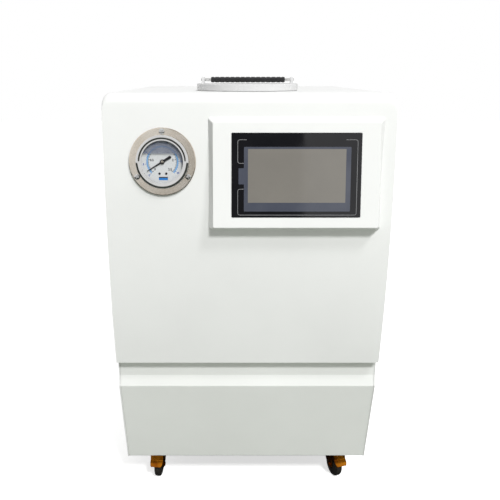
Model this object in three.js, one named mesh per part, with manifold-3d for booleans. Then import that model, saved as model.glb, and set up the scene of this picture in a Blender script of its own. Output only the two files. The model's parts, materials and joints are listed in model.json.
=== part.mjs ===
// Recirculating chiller water bath: a white cabinet on four swivel casters, with a touch screen and a
// pressure gauge in front and a lidded tank under its top. Millimetres, +Z up, front facing -Y, origin
// on the floor under the middle of the bounding box.
import * as THREE from 'three';
import { mergeVertices } from 'three/addons/utils/BufferGeometryUtils.js';
import { ConvexGeometry } from 'three/addons/geometries/ConvexGeometry.js';
import Module from 'manifold-3d';

const wasm = await Module();
wasm.setup();

// ---- driving dimensions ----------------------------------------------------------------------------

const WIDTH = 370;
const DEPTH = 490;
const TOP_Z = 600;
const BASE_Z = 50;                 // underside of the cabinet, carried by the casters
const SHEET = 2;                   // folded sheet panels
const SHELL = 3;                   // moulded front panel
const GAP = 0.3;                   // seam between neighbouring pieces

const SIDE_X = WIDTH / 2;
const FRONT_Y = -DEPTH / 2;        // foremost line of the bowed front
const REAR_Y = DEPTH / 2;
const CAP_Y = FRONT_Y + 40;        // rear edge of the front panel's returns

const BOW_RADIUS = 1250;
const BOW_CENTRE_Z = 420;
const UPPER_BOTTOM_Z = 232.5;      // lower edge of the overhanging front panel
const TOP_FILLET = 15;
const CORNER_RADIUS = 11;          // rounding between the top and the sides
const SKIRT_Z = 570;               // lower edge of the top cover's side skirts

const RECESS_SETBACK = 28;         // shadow gap under the front panel
const LEDGE_TOP_Z = 207;
const LEDGE_SETBACK = 24;
const LEDGE_Z = 191;
const FOOT_SETBACK = 62;           // the lower front slopes back to here
const FOOT_RETURN = 15;

const GAUGE_X = -110;
const GAUGE_Z = 516;
const GAUGE_BODY_RADIUS = 31.4;
const GAUGE_FLANGE_RADIUS = 42.5;
const GAUGE_BOLT_RADIUS = 37.5;
const NEEDLE_REST_ANGLE = 211;     // degrees from +X, seen from the front

const SCREEN_X = 59;
const BEZEL_BOTTOM_Z = 435;
const BEZEL_TOP_Z = 565;
const BEZEL_HALF_WIDTH = 105;
const BEZEL_RIM = 6;
const BEZEL_PROUD_TOP = 5;
const BEZEL_PROUD_BOTTOM = 17;
const GLASS_WIDTH = 163;
const GLASS_HEIGHT = 105;

const TANK_Y = -103;
const TANK_RADIUS = 85;
const TANK_WALL = 1.5;
const TANK_BOTTOM_Z = 348;
const TANK_TOP_Z = 550;
const NECK_RADIUS = 58;
const INSULATION_RADIUS = 98;
const DECK_Z = 330;
const LID_RADIUS = 72;
const LID_TOP_Z = 610;

const HANDLE_Z = 615;
const HANDLE_REACH = 28;
const HANDLE_ROD_RADIUS = 2;
const LUG_X = 63;

const CASTER_X = 138;
const CASTER_FRONT_Y = -141;
const CASTER_REAR_Y = 195;
const CASTER_TRAIL = 16;
const WHEEL_RADIUS = 19;
const WHEEL_HALF_WIDTH = 5;
const CHEEK_IN = 6.2;
const CHEEK_OUT = 8;
const AXLE_RADIUS = 2.5;
const PEDAL_HALF_WIDTH = 9.8;
const PEDAL_PIVOT = { y: -18, z: 37 };

const FAN_Z = 410;
const CONDENSER_Y = 150;
const PUMP_Y = -60;
const PUMP_Z = 95;

// ---- solids ----------------------------------------------------------------------------------------

const MERGE_TOLERANCE = 1e-4;

// Sides of round pieces, by size.
const LARGE = 32;
const MEDIUM = 24;
const SMALL = 16;
const TINY = 12;

function signedVolume(position, corners) {
  const a = new THREE.Vector3();
  const b = new THREE.Vector3();
  const c = new THREE.Vector3();
  let total = 0;
  for (let i = 0; i < corners.length; i += 3) {
    a.fromBufferAttribute(position, corners[i]);
    b.fromBufferAttribute(position, corners[i + 1]);
    c.fromBufferAttribute(position, corners[i + 2]);
    total += a.dot(b.cross(c));
  }
  return total;
}

// A closed mesh as a solid that booleans can use, with its faces turned outwards.
function solidOf(geometry) {
  const bare = geometry.clone();
  bare.deleteAttribute('normal');
  bare.deleteAttribute('uv');
  const merged = mergeVertices(bare, MERGE_TOLERANCE);
  const corners = [];
  const index = merged.index.array;
  for (let i = 0; i < index.length; i += 3) {
    const [a, b, c] = [index[i], index[i + 1], index[i + 2]];
    if (a !== b && b !== c && c !== a) corners.push(a, b, c);
  }
  if (signedVolume(merged.attributes.position, corners) < 0) corners.reverse();
  const vertProperties = Float32Array.from(merged.attributes.position.array);
  return new wasm.Manifold(new wasm.Mesh({ numProp: 3, vertProperties, triVerts: Uint32Array.from(corners) }));
}

function geometryOf(solid) {
  const mesh = solid.getMesh();
  const geometry = new THREE.BufferGeometry();
  geometry.setAttribute('position', new THREE.BufferAttribute(Float32Array.from(mesh.vertProperties), 3));
  geometry.setIndex(new THREE.BufferAttribute(Uint32Array.from(mesh.triVerts), 1));
  geometry.computeVertexNormals();
  return geometry;
}

function join(...solids) {
  return solids.reduce((whole, next) => whole.add(next));
}

function cut(body, ...tools) {
  return tools.reduce((rest, tool) => rest.subtract(tool), body);
}

function placed(solid, matrix) {
  return solid.transform(matrix.elements);
}

function extruded(shape, length, basis, curveSegments) {
  const geometry = new THREE.ExtrudeGeometry(shape, { depth: length, bevelEnabled: false, curveSegments });
  geometry.applyMatrix4(basis);
  return solidOf(geometry);
}

// A (y, z) outline swept along X.
function alongX(shape, x0, x1, curveSegments = 8) {
  const axes = [new THREE.Vector3(0, 1, 0), new THREE.Vector3(0, 0, 1), new THREE.Vector3(1, 0, 0)];
  const basis = new THREE.Matrix4().makeBasis(...axes).setPosition(x0, 0, 0);
  return extruded(shape, x1 - x0, basis, curveSegments);
}

// An (x, z) outline swept along Y.
function alongY(shape, y0, y1, curveSegments = 8) {
  const axes = [new THREE.Vector3(1, 0, 0), new THREE.Vector3(0, 0, 1), new THREE.Vector3(0, -1, 0)];
  const basis = new THREE.Matrix4().makeBasis(...axes).setPosition(0, y1, 0);
  return extruded(shape, y1 - y0, basis, curveSegments);
}

// An (x, y) outline swept along Z.
function alongZ(shape, z0, z1, curveSegments = 8) {
  const basis = new THREE.Matrix4().setPosition(0, 0, z0);
  return extruded(shape, z1 - z0, basis, curveSegments);
}

function block(x0, x1, y0, y1, z0, z1) {
  const geometry = new THREE.BoxGeometry(x1 - x0, y1 - y0, z1 - z0);
  geometry.translate((x0 + x1) / 2, (y0 + y1) / 2, (z0 + z1) / 2);
  return solidOf(geometry);
}

// Profiles are lists of [radius, height] that close on themselves or on the axis.
function turnedGeometry(profile, segments) {
  const points = profile.map(([radius, height]) => new THREE.Vector2(radius, height));
  const first = points[0];
  const last = points[points.length - 1];
  if (first.x > 0 || last.x > 0) points.push(first.clone());
  return new THREE.LatheGeometry(points, segments);
}

function turnedY(profile, segments, x = 0, y = 0, z = 0) {
  return solidOf(turnedGeometry(profile, segments).translate(x, y, z));
}

function turnedZ(profile, segments, x = 0, y = 0, z = 0) {
  return solidOf(turnedGeometry(profile, segments).rotateX(Math.PI / 2).translate(x, y, z));
}

function turnedX(profile, segments, x = 0, y = 0, z = 0) {
  return solidOf(turnedGeometry(profile, segments).rotateZ(-Math.PI / 2).translate(x, y, z));
}

function rod(turned, radius, from, to, segments, x = 0, y = 0, z = 0) {
  return turned([[0, from], [radius, from], [radius, to], [0, to]], segments, x, y, z);
}

// A round tube or rod along a curve.
function tube(curve, radius, steps, sides) {
  const section = new THREE.Shape();
  section.absarc(0, 0, radius, 0, 2 * Math.PI);
  const options = { steps, bevelEnabled: false, extrudePath: curve, curveSegments: sides / 2 };
  return solidOf(new THREE.ExtrudeGeometry(section, options));
}

function smoothPath(points) {
  const curve = new THREE.CatmullRomCurve3(points.map((p) => new THREE.Vector3(...p)));
  curve.curveType = 'centripetal';
  return curve;
}

function polygon(points) {
  return new THREE.Shape(points.map(([a, b]) => new THREE.Vector2(a, b)));
}

function pointsOnCircle(radius, count, startDegrees = 0) {
  return Array.from({ length: count }, (_, i) => {
    const angle = THREE.MathUtils.degToRad(startDegrees + (360 / count) * i);
    return [radius * Math.cos(angle), radius * Math.sin(angle)];
  });
}

// ---- scene graph and looks -------------------------------------------------------------------------

const bath = new THREE.Group();

const LOOKS = {
  white: [0xf2f3ef, 0.45, 0],
  lowerWhite: [0xe4e6e0, 0.5, 0],
  stainless: [0xc8bfae, 0.25, 1],
  chrome: [0xd9d9d9, 0.1, 1],
  brass: [0xb98f3e, 0.35, 1],
  copper: [0xb5693c, 0.35, 1],
  zinc: [0xc58a1e, 0.4, 0.8],
  dialWhite: [0xf4f4f2, 0.5, 0],
  glass: [0xdfe6e8, 0.05, 0],
  blackGlass: [0x0b0c10, 0.12, 0],
  blackPlastic: [0x17171a, 0.5, 0],
  rubber: [0x26231f, 0.8, 0],
  foam: [0x2b2c2e, 0.95, 0],
  steel: [0x9da1a3, 0.35, 1],
  greyPaint: [0x5b5f63, 0.5, 0],
  hose: [0xd5d2c8, 0.5, 0],
};

function piece(name, solid, look, parent = bath) {
  const [color, roughness, metalness] = LOOKS[look];
  const mesh = new THREE.Mesh(geometryOf(solid), new THREE.MeshStandardMaterial({ color, roughness, metalness }));
  mesh.name = name;
  parent.add(mesh);
  return mesh;
}

// ---- cabinet ---------------------------------------------------------------------------------------

const BOW_CENTRE_Y = FRONT_Y + BOW_RADIUS;

function frontY(z) {
  return BOW_CENTRE_Y - Math.sqrt(BOW_RADIUS ** 2 - (z - BOW_CENTRE_Z) ** 2);
}

// Side profile of the upper cabinet, drawn inwards by inset: bowed front, rounded top edge.
function upperProfile(inset, rearY) {
  const filletZ = TOP_Z - TOP_FILLET;
  const rise = filletZ - BOW_CENTRE_Z;
  const filletY = BOW_CENTRE_Y - Math.sqrt((BOW_RADIUS - TOP_FILLET) ** 2 - rise ** 2);
  const radius = BOW_RADIUS - inset;
  const bottomZ = UPPER_BOTTOM_Z + inset;
  const startAngle = Math.PI + Math.asin((BOW_CENTRE_Z - bottomZ) / radius);
  const tangentAngle = Math.PI - Math.asin(rise / (BOW_RADIUS - TOP_FILLET));
  const shape = new THREE.Shape();
  shape.moveTo(rearY, bottomZ);
  shape.lineTo(BOW_CENTRE_Y + radius * Math.cos(startAngle), bottomZ);
  shape.absarc(BOW_CENTRE_Y, BOW_CENTRE_Z, radius, startAngle, tangentAngle, true);
  shape.absarc(filletY, filletZ, TOP_FILLET - inset, tangentAngle, Math.PI / 2, true);
  shape.lineTo(rearY, TOP_Z - inset);
  return shape;
}

// Front view of the cabinet from bottomZ up, drawn inwards by inset, with rounded top corners.
function roundedTopOutline(inset, bottomZ) {
  const x = SIDE_X - inset;
  const top = TOP_Z - inset;
  const radius = CORNER_RADIUS - inset;
  const shape = new THREE.Shape();
  shape.moveTo(-x, bottomZ);
  shape.lineTo(x, bottomZ);
  shape.absarc(x - radius, top - radius, radius, 0, Math.PI / 2, false);
  shape.absarc(-x + radius, top - radius, radius, Math.PI / 2, Math.PI, false);
  return shape;
}

function bowedBlock(inset, rearY) {
  const side = alongX(upperProfile(inset, rearY), -SIDE_X + inset, SIDE_X - inset, 10);
  const ahead = FRONT_Y - 10;
  return side.intersect(alongY(roundedTopOutline(inset, UPPER_BOTTOM_Z + inset), ahead, rearY, 3));
}

// Frames of the gauge and the screen, with -Y pointing out of the front.
const gaugeLean = Math.asin((GAUGE_Z - BOW_CENTRE_Z) / BOW_RADIUS);
const gauge = new THREE.Group();
gauge.position.set(GAUGE_X, frontY(GAUGE_Z), GAUGE_Z);
gauge.rotation.x = -gaugeLean;
gauge.updateMatrix();
bath.add(gauge);

const bezelTopY = frontY(BEZEL_TOP_Z) - BEZEL_PROUD_TOP;
const bezelBottomY = frontY(BEZEL_BOTTOM_Z) - BEZEL_PROUD_BOTTOM;
const screen = new THREE.Group();
screen.position.set(SCREEN_X, (bezelTopY + bezelBottomY) / 2, (BEZEL_TOP_Z + BEZEL_BOTTOM_Z) / 2);
screen.rotation.x = -Math.atan2(bezelTopY - bezelBottomY, BEZEL_TOP_Z - BEZEL_BOTTOM_Z);
screen.updateMatrix();
bath.add(screen);

const screwPlaces = pointsOnCircle(GAUGE_BOLT_RADIUS, 3, 90);
const MODULE_HALF_WIDTH = 74;
const MODULE_HALF_HEIGHT = 45;

function frontPanel() {
  const shell = cut(bowedBlock(0, CAP_Y), bowedBlock(SHELL, CAP_Y + 1));
  const gaugeHole = rod(turnedY, GAUGE_BODY_RADIUS + 0.8, -10, 12, MEDIUM);
  const screwHoles = screwPlaces.map(([x, z]) => rod(turnedY, 2.4, -10, 12, TINY, x, 0, z));
  const screenHole = block(-MODULE_HALF_WIDTH - 3, MODULE_HALF_WIDTH + 3, -10, 40,
    -MODULE_HALF_HEIGHT - 3, MODULE_HALF_HEIGHT + 3);
  return cut(shell, placed(join(gaugeHole, ...screwHoles), gauge.matrix), placed(screenHole, screen.matrix));
}

function lowerFrontPanel() {
  const half = SIDE_X - SHEET - GAP;
  const top = UPPER_BOTTOM_Z - GAP;
  const outline = polygon([
    [FRONT_Y + RECESS_SETBACK, top],
    [FRONT_Y + RECESS_SETBACK, LEDGE_TOP_Z],
    [FRONT_Y + LEDGE_SETBACK, LEDGE_Z],
    [FRONT_Y + FOOT_SETBACK, BASE_Z],
    [FRONT_Y + FOOT_SETBACK + FOOT_RETURN, BASE_Z],
    [FRONT_Y + FOOT_SETBACK + FOOT_RETURN, BASE_Z + SHEET],
    [FRONT_Y + FOOT_SETBACK + SHEET, BASE_Z + SHEET],
    [FRONT_Y + LEDGE_SETBACK + SHEET, LEDGE_Z],
    [FRONT_Y + RECESS_SETBACK + SHEET, LEDGE_TOP_Z],
    [FRONT_Y + RECESS_SETBACK + SHEET, top],
  ]);
  return alongX(outline, -half, half);
}

function sidePanel(side) {
  const seamY = CAP_Y + GAP;
  const shoulderZ = UPPER_BOTTOM_Z - GAP;
  const outline = polygon([
    [REAR_Y, BASE_Z],
    [REAR_Y, SKIRT_Z - GAP],
    [seamY, SKIRT_Z - GAP],
    [seamY, shoulderZ],
    [FRONT_Y + RECESS_SETBACK, shoulderZ],
    [FRONT_Y + RECESS_SETBACK, LEDGE_TOP_Z],
    [FRONT_Y + LEDGE_SETBACK, LEDGE_Z],
    [FRONT_Y + FOOT_SETBACK, BASE_Z],
  ]);
  return side < 0 ? alongX(outline, -SIDE_X, -SIDE_X + SHEET) : alongX(outline, SIDE_X - SHEET, SIDE_X);
}

function topCover() {
  const outer = alongY(roundedTopOutline(0, SKIRT_Z), CAP_Y + GAP, REAR_Y, 3);
  const inner = alongY(roundedTopOutline(SHEET, SKIRT_Z - 1), CAP_Y, REAR_Y + 1, 3);
  return cut(outer, inner, rod(turnedZ, NECK_RADIUS + 4, TOP_Z - 10, TOP_Z + 10, LARGE, 0, TANK_Y));
}

// Places on the rear panel, seen in (x, z).
const OUTLET = { x: 40, z: 255 };
const RETURN = { x: -40, z: 255 };
const DRAIN = { x: -120, z: 85 };
const INLET = { x: 110, z: 130 };
const INLET_HALF_WIDTH = 30;
const INLET_HALF_HEIGHT = 14;

const LOUVRE_ROWS = 10;
const LOUVRE_PITCH = 20;
const LOUVRE_HEIGHT = 3.6;
const LOUVRE_LENGTH = 95;

function rearPanel() {
  const plate = alongY(roundedTopOutline(SHEET + GAP, BASE_Z + SHEET), REAR_Y - SHEET, REAR_Y, 3);
  const tools = [];
  for (let row = 0; row < LOUVRE_ROWS; row += 1) {
    const z = FAN_Z + (row - (LOUVRE_ROWS - 1) / 2) * LOUVRE_PITCH;
    for (const side of [-1, 1]) {
      const x = side * (LOUVRE_LENGTH / 2 + 8);
      tools.push(block(x - LOUVRE_LENGTH / 2, x + LOUVRE_LENGTH / 2, REAR_Y - 10, REAR_Y + 10,
        z - LOUVRE_HEIGHT / 2, z + LOUVRE_HEIGHT / 2));
    }
  }
  for (const port of [OUTLET, RETURN, DRAIN]) {
    tools.push(rod(turnedY, PORT_RADIUS + 0.4, REAR_Y - 10, REAR_Y + 10, SMALL, port.x, 0, port.z));
  }
  tools.push(block(INLET.x - INLET_HALF_WIDTH - 1, INLET.x + INLET_HALF_WIDTH + 1, REAR_Y - 10, REAR_Y + 10,
    INLET.z - INLET_HALF_HEIGHT - 1, INLET.z + INLET_HALF_HEIGHT + 1));
  return cut(plate, ...tools);
}

function basePan() {
  const half = SIDE_X - SHEET - GAP;
  const frontEdge = FRONT_Y + FOOT_SETBACK + FOOT_RETURN + GAP;
  const rearEdge = REAR_Y - SHEET - GAP;
  const rim = 20;
  const floor = 3;
  const outer = block(-half, half, frontEdge, rearEdge, BASE_Z, BASE_Z + rim);
  const inner = block(-half + SHEET, half - SHEET, frontEdge + SHEET, rearEdge - SHEET,
    BASE_Z + floor, BASE_Z + rim + 1);
  return cut(outer, inner);
}

function tankDeck() {
  const half = SIDE_X - SHEET - GAP;
  const frontEdge = CAP_Y + 2;
  const rearEdge = 0;
  const flange = 24;
  const plate = block(-half, half, frontEdge, rearEdge, DECK_Z, DECK_Z + SHEET);
  const frontFlange = block(-half, half, frontEdge, frontEdge + SHEET, DECK_Z - flange, DECK_Z + SHEET);
  const rearFlange = block(-half, half, rearEdge - SHEET, rearEdge, DECK_Z - flange, DECK_Z + SHEET);
  const outletHole = rod(turnedZ, 12, DECK_Z - 5, DECK_Z + 10, SMALL, 0, TANK_Y);
  return cut(join(plate, frontFlange, rearFlange), outletHole);
}

// ---- touch screen ----------------------------------------------------------------------------------

function bezelWedge(inset, faceInset, backY) {
  const halfWidth = BEZEL_HALF_WIDTH - inset;
  const points = [];
  for (const side of [-1, 1]) {
    const faceX = SCREEN_X + side * halfWidth;
    const rimX = SCREEN_X + side * (halfWidth + BEZEL_RIM);
    points.push(new THREE.Vector3(faceX, bezelTopY + faceInset, BEZEL_TOP_Z - inset));
    points.push(new THREE.Vector3(faceX, bezelBottomY + faceInset, BEZEL_BOTTOM_Z + inset));
    for (const y of backY) {
      points.push(new THREE.Vector3(rimX, y(BEZEL_TOP_Z), BEZEL_TOP_Z + BEZEL_RIM - inset));
      points.push(new THREE.Vector3(rimX, y(BEZEL_BOTTOM_Z), BEZEL_BOTTOM_Z - BEZEL_RIM + inset));
    }
  }
  return solidOf(new ConvexGeometry(points));
}

function screenBezel() {
  const outer = bezelWedge(0, 0, [frontY]);
  const hollow = bezelWedge(SHELL, SHELL, [(z) => frontY(z) + SHELL, (z) => frontY(z) + 3 * SHELL]);
  const window = block(-GLASS_WIDTH / 2 - GAP, GLASS_WIDTH / 2 + GAP, -10, 10,
    -GLASS_HEIGHT / 2 - GAP, GLASS_HEIGHT / 2 + GAP);
  const panelFace = placed(bowedBlock(0, CAP_Y), new THREE.Matrix4().setPosition(0, -GAP, 0));
  return cut(outer, hollow, placed(window, screen.matrix), panelFace);
}

function touchGlass() {
  const halfWidth = GLASS_WIDTH / 2;
  const halfHeight = GLASS_HEIGHT / 2;
  return block(-halfWidth, halfWidth, -0.6, 1.6, -halfHeight, halfHeight);
}

function displayModule() {
  const tray = block(-MODULE_HALF_WIDTH, MODULE_HALF_WIDTH, 1.9, 18, -MODULE_HALF_HEIGHT, MODULE_HALF_HEIGHT);
  const electronics = block(-58, 58, 17, 29, -35, 35);
  return join(tray, electronics);
}

// ---- pressure gauge, in its own frame --------------------------------------------------------------

function gaugeFlange() {
  const outer = GAUGE_FLANGE_RADIUS;
  const disc = turnedY([[32, -0.4], [outer, -0.4], [outer, -1.6], [outer - 0.6, -2.2], [32, -2.2]], LARGE);
  return cut(disc, ...screwPlaces.map(([x, z]) => rod(turnedY, 2.2, -5, 5, TINY, x, 0, z)));
}

function gaugeScrew(x, z) {
  return turnedY([[0, 7], [1.9, 7], [1.9, -2.5], [3.6, -2.5], [3.6, -3.4], [2.6, -4.3], [0, -4.6]], TINY, x, 0, z);
}

function gaugeCase() {
  const r = GAUGE_BODY_RADIUS;
  return turnedY([[0, 50], [5, 50], [7, 42], [7, 30], [r, 30], [r, -2.2], [r - 1.8, -2.2], [r - 1.8, 28.4],
    [0, 28.4]], MEDIUM);
}

function gaugeRing() {
  return turnedY([[29, -2.5], [33.5, -2.5], [33.5, -7.3], [32.2, -9], [28.6, -9], [26, -6.9], [26, -5.9],
    [29, -5.9]], LARGE);
}

function gaugeNeedle() {
  const pointer = polygon([[-10, -1.6], [-10, 1.6], [-2, 1.1], [17, 0.5], [21.5, 0], [17, -0.5], [-2, -1.1]]);
  const hub = turnedY([[0, -1.9], [3, -1.9], [3, -3.1], [2.2, -3.35], [0, -3.35]], SMALL);
  return join(alongY(pointer, -2.8, -2.2), hub);
}

function addGauge() {
  piece('gauge_flange', gaugeFlange(), 'stainless', gauge);
  screwPlaces.forEach(([x, z], i) => piece(`gauge_screw_${i + 1}`, gaugeScrew(x, z), 'steel', gauge));
  piece('gauge_case', gaugeCase(), 'brass', gauge);
  piece('gauge_dial', rod(turnedY, 29, -1.5, -0.7, MEDIUM), 'dialWhite', gauge);
  piece('gauge_ring', gaugeRing(), 'chrome', gauge);
  piece('gauge_glass', rod(turnedY, 28.5, -5.6, -3.6, LARGE), 'glass', gauge);
  const needle = piece('gauge_needle', gaugeNeedle(), 'blackPlastic', gauge);
  needle.rotation.y = -THREE.MathUtils.degToRad(NEEDLE_REST_ANGLE);
}

// ---- tank, lid and handle --------------------------------------------------------------------------

const STUB_RADIUS = 8;
const RETURN_STUB_Z = 500;
const STUB_END_Z = 318;

function tank() {
  const outer = TANK_RADIUS + TANK_WALL;
  const floor = TANK_BOTTOM_Z + TANK_WALL;
  const bore = STUB_RADIUS - 2;
  const vessel = turnedZ([[bore, STUB_END_Z], [bore, floor], [TANK_RADIUS, floor], [TANK_RADIUS, TANK_TOP_Z],
    [outer, TANK_TOP_Z], [outer, TANK_BOTTOM_Z], [STUB_RADIUS, TANK_BOTTOM_Z], [STUB_RADIUS, STUB_END_Z]],
  LARGE, 0, TANK_Y);
  const wallY = TANK_Y + TANK_RADIUS;
  const returnStub = rod(turnedY, STUB_RADIUS, wallY + 0.5, wallY + 24, SMALL, 0, 0, RETURN_STUB_Z);
  const returnBore = rod(turnedY, 2.8, wallY - 10, wallY + 30, TINY, 0, 0, RETURN_STUB_Z);
  return cut(join(vessel, returnStub), returnBore);
}

function fillerNeck() {
  const plateZ = TANK_TOP_Z + GAP;
  const rimZ = TOP_Z + GAP;
  const tubeOuter = NECK_RADIUS + TANK_WALL;
  return turnedZ([[NECK_RADIUS, plateZ], [NECK_RADIUS, rimZ + 1.2], [69, rimZ + 1.2], [69, rimZ],
    [tubeOuter, rimZ], [tubeOuter, plateZ + 1.5], [TANK_RADIUS + TANK_WALL, plateZ + 1.5],
    [TANK_RADIUS + TANK_WALL, plateZ]], LARGE, 0, TANK_Y);
}

function tankInsulation() {
  const inner = TANK_RADIUS + TANK_WALL + GAP;
  const bottom = DECK_Z + SHEET + GAP;
  const sleeve = turnedZ([[STUB_RADIUS + 1, bottom], [STUB_RADIUS + 1, TANK_BOTTOM_Z - GAP],
    [inner, TANK_BOTTOM_Z - GAP], [inner, TANK_TOP_Z - 2], [INSULATION_RADIUS, TANK_TOP_Z - 2],
    [INSULATION_RADIUS, bottom]], LARGE, 0, TANK_Y);
  return cut(sleeve, rod(turnedY, STUB_RADIUS + 1, TANK_Y, 20, SMALL, 0, 0, RETURN_STUB_Z));
}

function evaporatorCoil() {
  const radius = 74;
  const turns = 3;
  const pitch = 18;
  const bottom = TANK_BOTTOM_Z + 20;
  const legTop = TANK_TOP_Z - 4;
  class Coil extends THREE.Curve {
    getPoint(t) {
      const legShare = 0.08;
      const along = THREE.MathUtils.clamp((t - legShare) / (1 - 2 * legShare), 0, 1);
      const angle = Math.PI / 2 + 2 * Math.PI * turns * along;
      const helixZ = bottom + pitch * turns * along;
      const rise = Math.max(0, t - (1 - legShare)) / legShare;
      const drop = Math.max(0, legShare - t) / legShare;
      const r = radius - 12 * drop;
      const z = helixZ + (legTop - helixZ) * Math.max(rise, drop);
      return new THREE.Vector3(r * Math.cos(angle), TANK_Y + r * Math.sin(angle), z);
    }
  }
  return tube(new Coil(), 4, 52, 6);
}

function tankLid() {
  const under = TOP_Z + 3.4;
  const r = LID_RADIUS;
  const cap = turnedZ([[0, LID_TOP_Z], [r - 3, LID_TOP_Z - 0.6], [r - 1, LID_TOP_Z - 1.6], [r, LID_TOP_Z - 3.1],
    [r, TOP_Z + 0.5], [r - 1.6, TOP_Z + 0.5], [r - 1.6, under], [56, under],
    [56, TOP_Z - 8], [53.5, TOP_Z - 8], [53.5, under], [0, under]], LARGE, 0, TANK_Y);
  const pinHole = HANDLE_ROD_RADIUS + 0.2;
  const lugs = [-1, 1].map((side) => {
    const lug = polygon([[TANK_Y - 6, LID_TOP_Z - 2], [TANK_Y + 6, LID_TOP_Z - 2], [TANK_Y + 4, HANDLE_Z + 2],
      [TANK_Y + 2, HANDLE_Z + 3.4], [TANK_Y - 2, HANDLE_Z + 3.4], [TANK_Y - 4, HANDLE_Z + 2]]);
    return alongX(lug, side * LUG_X - 2, side * LUG_X + 2);
  });
  return cut(join(cap, ...lugs), rod(turnedX, pinHole, -LUG_X - 5, LUG_X + 5, TINY, 0, TANK_Y, HANDLE_Z));
}

function lidSeal() {
  const bottom = TOP_Z + 1.7;
  return turnedZ([[61, bottom], [68, bottom], [68, bottom + 1.4], [61, bottom + 1.4]], LARGE, 0, TANK_Y);
}

function handleBail() {
  const r = HANDLE_ROD_RADIUS;
  const armX = LUG_X - 6;
  const gripY = TANK_Y - HANDLE_REACH;
  const parts = [rod(turnedX, r, -armX, armX, TINY, 0, gripY, HANDLE_Z)];
  for (const side of [-1, 1]) {
    const x = side * armX;
    parts.push(rod(turnedY, r, gripY, TANK_Y, TINY, x, 0, HANDLE_Z));
    parts.push(rod(turnedX, r, Math.min(x, side * (LUG_X + 3)), Math.max(x, side * (LUG_X + 3)), TINY, 0,
      TANK_Y, HANDLE_Z));
    for (const y of [gripY, TANK_Y]) {
      parts.push(solidOf(new THREE.SphereGeometry(r, TINY, 6).rotateX(Math.PI / 2).translate(x, y, HANDLE_Z)));
    }
  }
  return join(...parts);
}

function handleGrip() {
  const inner = HANDLE_ROD_RADIUS + 0.1;
  const half = 51;
  return turnedX([[inner, -half], [3.1, -half], [3.75, -half + 2], [3.75, half - 2], [3.1, half], [inner, half]],
    SMALL, 0, TANK_Y - HANDLE_REACH, HANDLE_Z);
}

// ---- casters, drawn with the wheel trailing towards -Y ---------------------------------------------

function casterPlate() {
  const top = BASE_Z - 0.2;
  const plate = block(-20, 20, -20, 20, top - 2.2, top);
  const kingpin = turnedZ([[0, 38.3], [5.5, 38.3], [5.5, 39.7], [3.4, 39.7], [3.4, 45.4], [10.5, 45.4],
    [10.5, top - 1], [0, top - 1]], SMALL);
  return join(plate, kingpin);
}

function casterFork(hasBrake) {
  const cheek = new THREE.Shape();
  cheek.moveTo(11, 42.2);
  cheek.lineTo(-22, 42.2);
  cheek.lineTo(-22, 38);
  cheek.absarc(-CASTER_TRAIL, WHEEL_RADIUS, 5.5, Math.PI, 2 * Math.PI, false);
  cheek.lineTo(11, 39);
  const parts = [
    block(-CHEEK_OUT, CHEEK_OUT, -22, 11, 40, 42.2),
    alongX(cheek, -CHEEK_OUT, -CHEEK_IN, 4),
    alongX(cheek, CHEEK_IN, CHEEK_OUT, 4),
    rod(turnedZ, 12, 41, 45.1, SMALL),
    rod(turnedX, AXLE_RADIUS, -CHEEK_OUT - 1.5, CHEEK_OUT + 1.5, TINY, 0, -CASTER_TRAIL, WHEEL_RADIUS),
  ];
  if (hasBrake) {
    const pinEnd = PEDAL_HALF_WIDTH + 0.5;
    parts.push(rod(turnedX, 2, -pinEnd, -CHEEK_IN - 1, TINY, 0, PEDAL_PIVOT.y, PEDAL_PIVOT.z));
    parts.push(rod(turnedX, 2, CHEEK_IN + 1, pinEnd, TINY, 0, PEDAL_PIVOT.y, PEDAL_PIVOT.z));
  }
  return cut(join(...parts), rod(turnedZ, 3.7, 35, 50, SMALL));
}

function casterWheel() {
  const r = WHEEL_RADIUS;
  const bore = AXLE_RADIUS + 0.2;
  const half = WHEEL_HALF_WIDTH;
  return turnedX([[bore, -half], [8, -half], [9, 0.8 - half], [r - 1.2, 0.3 - half], [r, 1.6 - half],
    [r, half - 1.6], [r - 1.2, half - 0.3], [9, half - 0.8], [8, half], [bore, half]],
  MEDIUM, 0, -CASTER_TRAIL, WHEEL_RADIUS);
}

function brakePedal() {
  const { y, z } = PEDAL_PIVOT;
  const plate = polygon([[-24.2, 43.6], [-34.4, 33.4], [-41, 32.2], [-40.7, 30.3], [-33.5, 31.5],
    [-22.7, 42.4]]);
  const ear = new THREE.Shape();
  ear.moveTo(-34, 32.4);
  ear.lineTo(-24.4, 43);
  ear.absarc(y, z, 3.6, Math.PI / 2, -Math.PI / 2, true);
  const earIn = PEDAL_HALF_WIDTH - 1.4;
  const ears = [alongX(ear, -PEDAL_HALF_WIDTH, -earIn, 4), alongX(ear, earIn, PEDAL_HALF_WIDTH, 4)];
  const sheet = alongX(plate, -PEDAL_HALF_WIDTH, PEDAL_HALF_WIDTH);
  return cut(join(sheet, ...ears), rod(turnedX, 2.2, -20, 20, TINY, 0, y, z));
}

const CASTERS = [
  { corner: 'front_left', x: -CASTER_X, y: CASTER_FRONT_Y, turn: -6, brake: true },
  { corner: 'front_right', x: CASTER_X, y: CASTER_FRONT_Y, turn: 20, brake: true },
  { corner: 'rear_left', x: -CASTER_X, y: CASTER_REAR_Y, turn: 160, brake: false },
  { corner: 'rear_right', x: CASTER_X, y: CASTER_REAR_Y, turn: 190, brake: false },
];

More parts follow.
